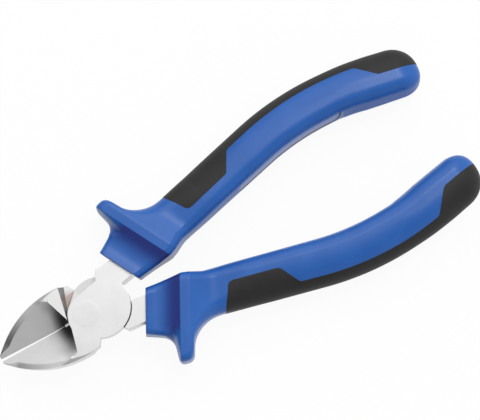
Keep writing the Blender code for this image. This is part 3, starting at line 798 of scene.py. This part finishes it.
def forging_outline(jaw):
    """Plan of a half, counter-clockwise from its tip, with the chamfer at each point."""
    radius = jaw.radius()
    tip_angle = math.asin((JAW_REACH - JAW_WIDEST_AHEAD) / radius)
    heel_angle = math.asin((JAW_WIDEST_AHEAD - HEEL_AHEAD) / radius)
    turns = np.linspace(-tip_angle, heel_angle, JAW_POINTS) - math.pi / 2
    arc = np.array([-JAW_WIDEST_AHEAD, radius - JAW_HALF_WIDTH]) + radius * unit(turns)
    ahead = -arc[:, 0]
    band = EDGE_CHAMFER + (JAW_CHAMFER - EDGE_CHAMFER) * eased(ahead, *BAND_GROWS)
    jaw_chamfer = band + (TIP_CHAMFER - band) * eased(ahead, BAND_NARROWS, JAW_REACH)
    disc_start = -math.acos((HEEL_RUN - HEEL_AHEAD - DISC_BEHIND) / DISC_RADIUS)
    disc_end = math.asin(TANG_INNER_SIDE / DISC_RADIUS)
    disc = np.array([DISC_BEHIND, 0]) + DISC_RADIUS * unit(np.linspace(disc_start, disc_end, DISC_POINTS))
    swing = rounded(
        [
            *((*corner, 0) for corner in TANG_CORNERS),
            (*SHOULDER, 0),
            SWING_CORNER,
            (-BEVEL_BACK_AHEAD, -RELIEF_DEPTH, 0),
        ]
    )
    back = evenly(np.concatenate([arc[-1:], disc, tang_block(), swing]), OUTLINE_STEP)[1:]
    throat = np.linalg.norm(back - swing[-1], axis=1)
    back_chamfer = EDGE_CHAMFER * eased(throat, 0, THROAT_SHARP) * (back[:, 0] < RIM[0] + MOUTH_SHARP)
    relief = BEVEL_BACK_AHEAD + RELIEF_LENGTH
    edge = np.array(
        [
            swing[-1],
            (-relief, -RELIEF_DEPTH),
            (-relief, -relief * jaw.edge_slope),
            (-JAW_REACH, -JAW_REACH * jaw.edge_slope),
        ]
    )
    edge = evenly(edge, CUTTING_EDGE_STEP)[1:]
    outline = np.concatenate([arc, back, edge])
    return outline, np.concatenate([jaw_chamfer, back_chamfer, np.zeros(len(edge))])


def within(points, loop):
    """True for the points inside a closed loop, by counting the sides of it that lie to the left of each."""
    after = np.roll(loop, -1, axis=0)
    x, y = points[:, :1], points[:, 1:]
    across = (loop[:, 1] > y) != (after[:, 1] > y)
    rise = np.where(after[:, 1] == loop[:, 1], 1.0, after[:, 1] - loop[:, 1])
    meets = loop[:, 0] + (y - loop[:, 1]) * (after[:, 0] - loop[:, 0]) / rise
    return (across & (meets < x)).sum(axis=1) % 2 == 1


def inwards(outline):
    """Inward steps at the points of a closed outline, as long as keep both sides at one distance."""
    after = np.roll(outline, -1, axis=0) - outline
    after /= np.linalg.norm(after, axis=1, keepdims=True)
    before = np.roll(after, 1, axis=0)
    left = np.stack([-before[:, 1], before[:, 0]], axis=1)
    right = np.stack([-after[:, 1], after[:, 0]], axis=1)
    return (left + right) / np.maximum(1 + (left * right).sum(axis=1), MITRE_LIMIT)[:, None]


def bevel_height(jaw, ahead, side):
    """Height of the bevel: a plain slope from the cutting edge, and the rise of the grinding wheel's hollow,
    which grows as an exponential towards the throat and on from there as its tangent, and eases off to the
    side. The wheel's run-out lifts the outer back corner."""
    past = ahead + HOLLOW_SWEEP * side - HOLLOW_AT
    fading = HOLLOW_RISE * np.exp(-np.maximum(past, 0) / HOLLOW_FADES)
    hollow = fading - HOLLOW_RISE / HOLLOW_FADES * np.minimum(past, 0)
    hollow = hollow * (1 - HOLLOW_EASES * eased(side, *HOLLOW_EASES_SIDE))
    lift = jaw.grind_lift * eased(side, *LIFT_SIDE) * (1 - eased(ahead, *LIFT_AHEAD))
    return EDGE_LAND / 2 + (side - ahead * jaw.edge_slope) * BEVEL_RISE + hollow + lift


def grind_back(jaw, side):
    """How far ahead of the pivot the back line of the grinding lies."""
    return np.maximum(BEVEL_BACK_AHEAD, jaw.grind_start + side * jaw.grind_sweep)


def jaw_height(jaw, ahead, side):
    """Height of the jaw's face over the middle plane: flat behind the back line, and the bevel ahead of
    it."""
    bevel = np.minimum(HALF_THICKNESS, bevel_height(jaw, ahead, side))
    return np.where(ahead <= grind_back(jaw, side) + BACK_LINE_WIDTH, HALF_THICKNESS, bevel)


def throat_shade(jaw, ahead, side):
    """Painted shade on the hollow towards the throat, where the two jaws shade each other."""
    away = np.hypot(ahead - BEVEL_BACK_AHEAD, THROAT_SIDE_SHARE * side)
    return THROAT_PAINTED_SHADE * (1 - eased(away, *THROAT_REACH)) * (ahead > grind_back(jaw, side))


def wall_run(side):
    """Foot of the jaw's drafted wall at a place to the side, and how far behind the foot its head lies."""
    foot = -WALL_AHEAD_INNER + (WALL_AHEAD_INNER - WALL_AHEAD_OUTER) * side / JAW_HALF_WIDTH
    return foot, WALL_LEAST_RUN + WALL_DRAFT * side / JAW_HALF_WIDTH


def lap_ramp(x, y):
    """Share of the way up the jaw's drafted wall to the lap: 0 ahead of its foot and 1 behind its head."""
    foot, run = wall_run(np.maximum(-y, 0))
    return np.clip((x - foot) / run, 0, 1)


def lower_height(plan, upper):
    """Height of the half's other face: the jaw's mirrored face, the drafted wall, the lap and the tang."""
    x, y = plan[:, 0], plan[:, 1]
    height = -upper + (LAP_HALF_GAP + upper) * lap_ramp(x, y)
    radius = np.hypot(x - DISC_BEHIND, y)
    tang = np.clip((radius - DISC_RADIUS - JOINT_GAP) / LAP_ARC_RUN, 0, 1)
    tang = np.where((y > 0) & (x > SHOULDER[0] - JOINT_GAP), tang, 0)
    return height - (upper + LAP_HALF_GAP) * tang


def ground_lines(jaw):
    """Lines of the grinding in plan: rows from its back line towards the tip, and the ridge where the bevel
    comes up to the flat. Each is found by rounds of substitution from a first guess."""
    share = np.linspace(0, 1, GRIND_COLUMNS)
    spread = np.linspace(0, 1, GRIND_ROWS)[1:] ** GRIND_ROW_POWER
    relief_end = BEVEL_BACK_AHEAD + RELIEF_LENGTH + RELIEF_CLEARANCE
    lines = []
    for row in (0, BACK_LINE_STEP, *(BACK_LINE_STEP + GRIND_LENGTH * spread)):
        ahead = np.full_like(share, BEVEL_BACK_AHEAD + row)
        for _ in range(BACK_LINE_ROUNDS):
            reach = jaw.side(ahead, JAW_CHAMFER + BAND_CLEARANCE)
            inner = np.where(ahead < relief_end, RELIEF_DEPTH, ahead * jaw.edge_slope)
            side = inner + EDGE_CLEARANCE + (reach - inner - EDGE_CLEARANCE) * share
            ahead = grind_back(jaw, side) + row
        lines.append(np.stack([-ahead, -side], axis=1))
    ahead = np.linspace(*RIDGE_AHEAD, RIDGE_POINTS)
    side = np.full_like(ahead, RIDGE_GUESS)
    for _ in range(RIDGE_ROUNDS):
        side = side + RIDGE_STEP * (HALF_THICKNESS - bevel_height(jaw, ahead, side)) / BEVEL_RISE
    clear = ahead > grind_back(jaw, side) + RIDGE_CLEARANCE
    clear = clear & (side < jaw.side(ahead, JAW_CHAMFER + BAND_CLEARANCE))
    return lines + [np.stack([-ahead, -side], axis=1)[clear]]


def lap_lines():
    """Lines of the lap in plan: the foot and the head of the jaw's wall, and the arc at the tang."""
    side = np.linspace(*WALL_SIDES, WALL_POINTS)
    foot, run = wall_run(side)
    turns = np.linspace(*LAP_ARC, LAP_ARC_POINTS)
    centre = np.array([DISC_BEHIND, 0])
    radius = DISC_RADIUS + JOINT_GAP
    return [
        np.stack([foot, -side], axis=1),
        np.stack([foot + run, -side], axis=1),
        centre + radius * unit(turns),
        centre + (radius + LAP_ARC_RUN) * unit(turns),
    ]


def triangulated(border, lines):
    """Points and triangles of the plan inside a border, with lines kept as edges, and the number that each
    point of the border has among the points. Triangles without an area are left out."""
    plan = np.concatenate([border] + lines)
    ends = np.cumsum([len(border)] + [len(line) for line in lines])
    runs = [
        np.stack([np.arange(start, end - 1), np.arange(start + 1, end)], axis=1)
        for start, end in zip(ends[:-1], ends[1:])
    ]
    flat = [Vector(point) for point in plan.tolist()]
    loop = list(range(len(border)))
    made = delaunay_2d_cdt(flat, np.concatenate(runs).tolist(), [loop], 1, PLAN_MERGE_DISTANCE, True)
    points = np.array([tuple(point) for point in made[0]])
    triangles = np.array(made[2])
    sources = made[3]
    corners = points[triangles]
    first, second = corners[:, 1] - corners[:, 0], corners[:, 2] - corners[:, 0]
    spread = np.abs(first[:, 0] * second[:, 1] - first[:, 1] * second[:, 0])
    triangles = triangles[within(corners.mean(axis=1), border) & (spread > LEAST_SPREAD)]
    number = np.full(len(plan), -1)
    number[np.concatenate([np.array(ids, int) for ids in sources])] = np.repeat(
        np.arange(len(sources)), [len(ids) for ids in sources]
    )
    return points, triangles, number[: len(border)]


def face_marks(jaw, ahead, side):
    """Marks of a half's two faces at places of its plan: the painted shade of the upper face towards the
    throat, then the painted shade of the lower one towards the throat, on the jaw's drafted wall, on the lap
    and in the gap at the joint, and the warm tint of the lower one, whose lap shows beside the joint."""
    foot, head = WALL_ENDS
    ramp = lap_ramp(-ahead, -side)
    lap = (ramp >= head) * (side > 0)
    warm = lap * eased(ahead, *WARM_AHEAD) * (1 - eased(side, *WARM_SIDE))
    lap_shade = LAP_PAINTED_SHADE * lap * (1 - eased(ahead, *LAP_SHADE_AHEAD))
    lap_shade = lap_shade + GAP_PAINTED_SHADE * warm * (1 - eased(side, *GAP_SHADE_SIDE))
    throat = throat_shade(jaw, ahead, side)
    dull_and_shade = np.where((ramp > foot) & (ramp < head), WALL_PAINTED_SHADE, lap_shade + throat * (ramp <= foot))
    return throat, dull_and_shade, warm


def band_marks(jaw, outline):
    """Darkening of the chamfer at the points of an outline, partly a duller finish and partly painted shade:
    of the band, and more of it towards the tip.
    """
    ahead = -outline[:, 0]
    dull_and_shade = jaw.band_dull_and_shade * eased(ahead, *BAND_DULL_AND_SHADE_AHEAD) + jaw.tip_dull_and_shade * eased(ahead, *TIP_DULL_AND_SHADE_AHEAD)
    return dull_and_shade * (np.arange(len(outline)) < JAW_POINTS)


def forging_mesh(jaw):
    """Points, faces and marks of a half. Both faces share one triangulated plan, and rows of quads run over
    its edges as a chamfer: a row at a share of the way over an edge of size r lies r times the share inside
    the outline, and r times the rest of the way, times the chamfer's slope, low."""
    outline, chamfer = forging_outline(jaw)
    step = inwards(outline)
    border = outline + step * (chamfer + np.minimum(BORDER_CLEARANCE, chamfer / 2))[:, None]
    plan, triangles, number = triangulated(border, ground_lines(jaw) + lap_lines())
    upper = jaw_height(jaw, -plan[:, 0], -plan[:, 1])
    lower = lower_height(plan, upper)
    share = np.linspace(0, 1, CHAMFER_ROWS)[:, None]
    row_plan = outline + step * (chamfer * share)[..., None]
    fall = jaw.band_fall * chamfer * (1 - share)
    row_upper = jaw_height(jaw, -row_plan[..., 0], -row_plan[..., 1]) - fall
    row_plan = row_plan.reshape(-1, 2)
    row_upper = row_upper.ravel()
    points = np.concatenate(
        [
            np.column_stack([plan, upper]),
            np.column_stack([plan, lower]),
            np.column_stack([row_plan, row_upper]),
            np.column_stack([row_plan, lower_height(row_plan, row_upper)]),
        ]
    )
    count = len(plan)
    rows = np.arange(len(row_plan)).reshape(CHAMFER_ROWS, -1)
    top = np.concatenate([2 * count + rows, number[None]])
    bottom = np.concatenate([2 * count + rows.size + rows, count + number[None]])
    quads = loop_quads(np.concatenate([bottom[::-1], top]))
    faces = triangles.tolist() + (triangles[:, ::-1] + count).tolist() + quads
    throat, dull_and_shade, warm = face_marks(jaw, *-plan[triangles].mean(axis=1).T)
    band = np.tile(band_marks(jaw, outline), len(quads) // len(outline))
    marks = {
        "dull_and_shade": np.concatenate([throat, dull_and_shade, band]),
        "warm": np.concatenate([0 * throat, warm, 0 * band]),
    }
    return points, faces, marks


def tail_grid():
    """The drawn-out tang inside the grip: a bar with rounded corners along the middle line."""
    around = loop_shares(TAIL_COLUMNS)
    along = np.linspace(TANG_BLOCK_DEPTH / 2, TAIL_END, TAIL_ROWS)[:, None] + 0 * around
    width = np.full_like(along, TAIL_HALF_WIDTH)
    height = np.full_like(along, TAIL_HALF_HEIGHT)
    corner = np.full_like(along, TAIL_CORNER)
    return on_section(along, Section(width, width, height, corner, corner, corner, corner), around)


def make_forging(body, material):
    points, faces, marks = forging_mesh(JAWS[body])
    tail = tail_grid()
    tail_faces = [[corner + len(points) for corner in face] for face in loop_faces(tail, capped=True)]
    mesh_piece(
        f"{body}_forging",
        body,
        np.concatenate([points, tail.reshape(-1, 3)]),
        faces + tail_faces,
        material,
        "steel",
        [f"{body}_half"],
        FORGING_CREASE,
        {name: np.concatenate([values, np.zeros(len(tail_faces))]) for name, values in marks.items()},
    )


def make_rivet(material):
    """A pin ground almost flush at both ends, with its edges just broken: a profile of radius and height
    turned about the pivot."""
    radius = np.array([*RIVET_FLAT_RINGS, RIVET_RADIUS, RIVET_RADIUS])
    drop = np.array([*np.zeros(len(RIVET_FLAT_RINGS)), RIVET_EDGE_FALL, RIVET_EDGE_DEPTH])
    height = HALF_THICKNESS + RIVET_PROUD - drop
    profile = np.concatenate([np.stack([radius, -height], 1), np.stack([radius, height], 1)[::-1]])
    turns = np.linspace(0, 2 * math.pi, RIVET_COLUMNS, endpoint=False)
    plan = profile[:, None, :1] * unit(turns)
    up = np.broadcast_to(profile[:, None, 1:], plan.shape[:2] + (1,))
    loop_piece(
        "joint_rivet",
        "front",
        np.concatenate([plan, up], axis=-1),
        material,
        "rivet_steel",
        ["pivot_rivet"],
        RIVET_CREASE,
    )


# Finishes


class Value:
    """A socket in a node tree. Arithmetic on it adds Math nodes."""

    def __init__(self, tree, socket):
        self.tree = tree
        self.socket = socket

    def math(self, operation, *values):
        return self.tree.add("ShaderNodeMath", {"operation": operation}, dict(enumerate((self, *values))))

    def __add__(self, other):
        return self.math("ADD", other)

    __radd__ = __add__

    def __sub__(self, other):
        return self.math("SUBTRACT", other)

    def __rsub__(self, other):
        return self.tree.add("ShaderNodeMath", {"operation": "SUBTRACT"}, {0: other, 1: self})

    def __mul__(self, other):
        return self.math("MULTIPLY", other)

    __rmul__ = __mul__

    def clamped(self):
        return self.math("MAXIMUM", 0.0).math("MINIMUM", 1.0)

    def eased(self, start, end):
        """Smooth step between two values."""
        inputs = {"Value": self, "From Min": start, "From Max": end}
        return self.tree.add("ShaderNodeMapRange", {"interpolation_type": "SMOOTHSTEP"}, inputs)


class Tree:
    """A node tree that is written as expressions on values."""

    def __init__(self, owner):
        owner.use_nodes = True
        self.nodes = owner.node_tree.nodes
        self.links = owner.node_tree.links
        self.nodes.clear()

    def add(self, kind, settings=None, inputs=None, output=0):
        """A node of a type: its settings first, then a value or a link for each socket named."""
        node = self.nodes.new(kind)
        for name, value in (settings or {}).items():
            setattr(node, name, value)
        for name, value in (inputs or {}).items():
            socket = node.inputs[name]
            if isinstance(value, Value):
                self.links.new(value.socket, socket)
            else:
                socket.default_value = value
        return Value(self, node.outputs[output]) if node.outputs else None

    def mix(self, share, first, second):
        """A colour between two colours."""
        colours = (colour if isinstance(colour, Value) else (*colour, 1.0) for colour in (first, second))
        inputs = dict(zip((0, 6, 7), (share, *colours)))
        return self.add("ShaderNodeMix", {"data_type": "RGBA"}, inputs, output=2)

    def object_place(self, scale=(1.0, 1.0, 1.0)):
        """Object coordinates, scaled."""
        place = self.add("ShaderNodeTexCoord", output="Object")
        return self.add("ShaderNodeMapping", {}, {"Vector": place, "Scale": scale})

    def noise(self, place, scale, detail=2.0, roughness=0.5):
        inputs = {"Vector": place, "Scale": scale, "Detail": detail, "Roughness": roughness}
        return self.add("ShaderNodeTexNoise", {}, inputs, output="Fac")

    def mark(self, name):
        """An attribute of the mesh."""
        return self.add("ShaderNodeAttribute", {"attribute_name": name}, output="Fac")

    def bump(self, height, strength, distance):
        return self.add("ShaderNodeBump", {}, {"Height": height, "Strength": strength, "Distance": distance})

    def surface(self, sockets):
        shader = self.add("ShaderNodeBsdfPrincipled", {}, sockets)
        self.add("ShaderNodeOutputMaterial", {}, {"Surface": shader})


# Colours of the finishes: a pair is the darker and the lighter tone of a clouding, which turns from one to
# the other over a range of its noise. The grinding lines are noise drawn out by a scale on each axis
CLOUDING = (0.3, 0.7)
STEEL = ((0.6432, 0.63936, 0.6432), (0.67, 0.666, 0.67))
RIVET_STEEL = ((0.6288, 0.62592, 0.6288), (0.655, 0.652, 0.655))
STEEL_WARM = (0.40, 0.32, 0.29)
# Colour that the steel turns to where it is dulled and where shade is painted on it
STEEL_DULL_AND_SHADE = (0.02, 0.02, 0.021)
BODY_BLUE = ((0.009, 0.096, 0.39), (0.013, 0.109, 0.425))
# Colour of the painted shade on the body
BODY_SHADE = (0.021, 0.038, 0.22)
CORE_BLUE = ((0.012, 0.10, 0.40), (0.017, 0.112, 0.43))
# Colour of the line of painted shade on the core's panel
CORE_PAINTED_SHADE = (0.005, 0.008, 0.04)
OVERLAY_BLACK = ((0.012, 0.011, 0.011), (0.017, 0.0155, 0.0155))
FLOOR_WHITE = (0.92, 0.92, 0.92, 1.0)
WHITE = (1.0, 1.0, 1.0, 1.0)
FLOOR_LIFT = 0.93
GRINDING_LINES = (90, 1500, 900)


def new_finish(name):
    material = bpy.data.materials.new(name)
    return material, Tree(material)


def ground_steel(name, tones, roughness):
    """Bright steel with fine grinding lines across the jaws and faint clouding, darkened by the mesh's mark
    of dulling and painted shade, and warmed by its warm tint.
    """
    material, tree = new_finish(name)
    lines = tree.noise(tree.object_place(GRINDING_LINES), scale=1.0, detail=3.0, roughness=0.6)
    cloud = tree.noise(tree.object_place(), scale=160, detail=3.0)
    dull_and_shade, warm = tree.mark("dull_and_shade"), tree.mark("warm")
    shade = tree.mix(cloud.eased(*CLOUDING), *tones)
    shade = tree.mix(warm, shade, STEEL_WARM)
    tree.surface(
        {
            "Base Color": tree.mix(dull_and_shade, shade, STEEL_DULL_AND_SHADE),
            "Metallic": 1.0,
            "Roughness": roughness + 0.05 * lines + 0.05 * cloud + 0.15 * dull_and_shade,
            "Normal": tree.bump(lines, strength=0.04, distance=0.0001),
        }
    )
    return material


def satin_blue():
    """Moulded satin plastic: a fine spark-eroded grain and slight clouding of the colour, with painted shade
    mixed into the colour by the mesh's shade mark.
    """
    material, tree = new_finish("satin_blue_plastic")
    grain = tree.noise(tree.object_place(), scale=3200, detail=2.0)
    cloud = tree.noise(tree.object_place(), scale=90, detail=3.0)
    colour = tree.mix(cloud.eased(*CLOUDING), *BODY_BLUE)
    tree.surface(
        {
            "Base Color": tree.mix(tree.mark("shade"), colour, BODY_SHADE),
            "Roughness": 0.30 + 0.06 * cloud,
            "Specular IOR Level": 0.4,
            "Normal": tree.bump(grain, strength=0.08, distance=0.00005),
        }
    )
    return material


def gloss_blue():
    """Hard core plastic, glossier than the body, with a line of painted shade along its parting line and
    seam.
    """
    material, tree = new_finish("gloss_blue_plastic")
    ripple = tree.noise(tree.object_place(), scale=240, detail=2.0)
    # Share of the line of painted shade along the parting line and the seam
    line = tree.mark("line")
    tree.surface(
        {
            "Base Color": tree.mix(line, tree.mix(ripple.eased(*CLOUDING), *CORE_BLUE), CORE_PAINTED_SHADE),
            "Roughness": 0.2 + 0.06 * ripple + 0.4 * line,
            "Coat Weight": 0.2 - 0.2 * line,
            "Specular IOR Level": 0.5,
            "Normal": tree.bump(ripple, strength=0.03, distance=0.0001),
        }
    )
    return material


def soft_black():
    """Soft black overlay with a matte, finely pebbled face."""
    material, tree = new_finish("soft_black_rubber")
    pebble = tree.noise(tree.object_place(), scale=2600, detail=3.0)
    cloud = tree.noise(tree.object_place(), scale=120, detail=3.0)
    tree.surface(
        {
            "Base Color": tree.mix(cloud.eased(*CLOUDING), *OVERLAY_BLACK),
            "Roughness": 0.50 + 0.12 * cloud,
            "Specular IOR Level": 0.35,
            "Normal": tree.bump(pebble, strength=0.15, distance=0.00006),
        }
    )
    return material


def seen_rays(tree):
    """1 on rays from the camera and on those that it sees by reflection or through glass."""
    kinds = ("Camera", "Glossy", "Transmission")
    camera, glossy, through = (tree.add("ShaderNodeLightPath", output=f"Is {kind} Ray") for kind in kinds)
    return (camera + glossy + through).clamped()


def pale_floor():
    """A white floor that keeps the object's shadow, lifted to white where the camera sees it."""
    material, tree = new_finish("pale_floor")
    white = tree.add("ShaderNodeBsdfDiffuse", {}, {"Color": FLOOR_WHITE})
    lit = tree.add("ShaderNodeEmission", {}, {"Color": WHITE, "Strength": 1.0})
    shown = tree.add("ShaderNodeMixShader", {}, {0: FLOOR_LIFT * seen_rays(tree), 1: white, 2: lit})
    tree.add("ShaderNodeOutputMaterial", {}, {"Surface": shown})
    return material


# Light, floor and camera


# The photograph's view: a pixel is in millimetres at the pivot, and the lens and the sensor in millimetres.
# The floor and the camera's near limit are in metres
VIEW_AZIMUTH = math.radians(-29.1)
VIEW_ELEVATION = math.radians(82.5)
LENS = 150.0
SENSOR = 36.0
IMAGE_SIZE = (480, 420)
PIXEL = 0.3116
PIVOT_PIXEL = (87.4, 314.9)
CLIP_START = 0.01
FLOOR_REACH = 4.0
FLOOR_DROP = 0.0002

# Levels of the studio's light, with the parts of a direction over which they change
CEILING_LEVEL = 0.92
CEILING_UP = (0.66, 0.98)
SIDE_LEVEL = 0.74
HANDLE_END_RISE = 0.32
FAR_SIDE_RISE = 0.04
FAR_SIDE_FADES = (-0.6, 0.1)
JAW_END_LOSS = 0.6
JAW_END = (0.15, 0.75)
GAP_LOSS = 0.55
GAP_NEAR = (0.05, 0.45)
GAP_OPENS = (0.74, 0.84)
GAP_CLOSES = (0.9, 0.97)

# Lamps aimed at the origin: place and size in metres, and power in watts
LAMPS = {
    "key": {"place": (0.21, 0.46, 0.68), "size": 0.9, "power": 2.2},
    "fill": {"place": (0.295, 0.15, 0.78), "size": 0.12, "power": 0.95},
}


def make_camera():
    """The photograph's view: the pivot falls on its pixel, at the scale of one pixel in millimetres."""
    right = Vector((math.cos(VIEW_AZIMUTH), math.sin(VIEW_AZIMUTH), 0))
    flat = math.cos(VIEW_ELEVATION)
    back = Vector((math.sin(VIEW_AZIMUTH) * flat, -math.cos(VIEW_AZIMUTH) * flat, math.sin(VIEW_ELEVATION)))
    up = back.cross(right)
    aside = (IMAGE_SIZE[0] / 2 - PIVOT_PIXEL[0]) * PIXEL * MM
    above = (PIVOT_PIXEL[1] - IMAGE_SIZE[1] / 2) * PIXEL * MM
    distance = LENS * PIXEL * MM * IMAGE_SIZE[0] / SENSOR
    data = bpy.data.cameras.new("camera")
    data.lens = LENS
    data.sensor_width = SENSOR
    data.clip_start = CLIP_START
    camera = bpy.data.objects.new("camera", data)
    turn = Matrix((right, up, back)).transposed().to_4x4()
    turn.translation = Vector(PIVOT) + right * aside + up * above + back * distance
    camera.matrix_world = turn
    bpy.context.scene.collection.objects.link(camera)
    bpy.context.scene.camera = camera


def make_floor():
    mesh = bpy.data.meshes.new("floor")
    signs = ((-1, -1), (1, -1), (1, 1), (-1, 1))
    corners = [(x * FLOOR_REACH, y * FLOOR_REACH, -FLOOR_DROP) for x, y in signs]
    mesh.from_pydata(corners, [], [(0, 1, 2, 3)])
    mesh.materials.append(pale_floor())
    floor = bpy.data.objects.new("floor", mesh)
    bpy.context.scene.collection.objects.link(floor)


def make_world():
    """A soft studio: brightest overhead, with the sides lower and the jaws' end darkest, and a darker gap
    between the ceiling and the near side."""
    world = bpy.data.worlds.new("studio")
    bpy.context.scene.world = world
    tree = Tree(world)
    towards = tree.add("ShaderNodeTexCoord", output="Generated")
    x, y, z = (tree.add("ShaderNodeSeparateXYZ", {}, {0: towards}, output=axis) for axis in range(3))
    sides = SIDE_LEVEL + HANDLE_END_RISE * x + FAR_SIDE_RISE * y * x.eased(*FAR_SIDE_FADES)
    sides = sides * (1 - JAW_END_LOSS * (0 - x).eased(*JAW_END))
    gap = (0 - y).eased(*GAP_NEAR) * z.eased(*GAP_OPENS) * (1 - z.eased(*GAP_CLOSES))
    level = (sides + z.eased(*CEILING_UP) * (CEILING_LEVEL - sides)) * (1 - GAP_LOSS * gap)
    sky = tree.add("ShaderNodeBackground", {}, {"Color": WHITE, "Strength": level})
    tree.add("ShaderNodeOutputWorld", {}, {"Surface": sky})


def make_lamp(name, place, size, power):
    data = bpy.data.lights.new(name, "AREA")
    data.shape = "DISK"
    data.size = size
    data.energy = power
    lamp = bpy.data.objects.new(name, data)
    lamp.location = place
    lamp.rotation_euler = (-Vector(place)).to_track_quat("-Z", "Y").to_euler()
    bpy.context.scene.collection.objects.link(lamp)


def main():
    bpy.context.scene.view_settings.view_transform = "Standard"
    steel = ground_steel("ground_steel", STEEL, roughness=0.28)
    rivet_steel = ground_steel("rivet_steel", RIVET_STEEL, roughness=0.30)
    blue, panel_blue, black = satin_blue(), gloss_blue(), soft_black()
    for body in ("front", "rear"):
        make_forging(body, steel)
        make_grip_body(body, blue)
        make_overlay(body, black)
        make_panel(body, panel_blue)
    make_rivet(rivet_steel)
    make_camera()
    make_floor()
    make_world()
    for name, settings in LAMPS.items():
        make_lamp(name, **settings)


main()
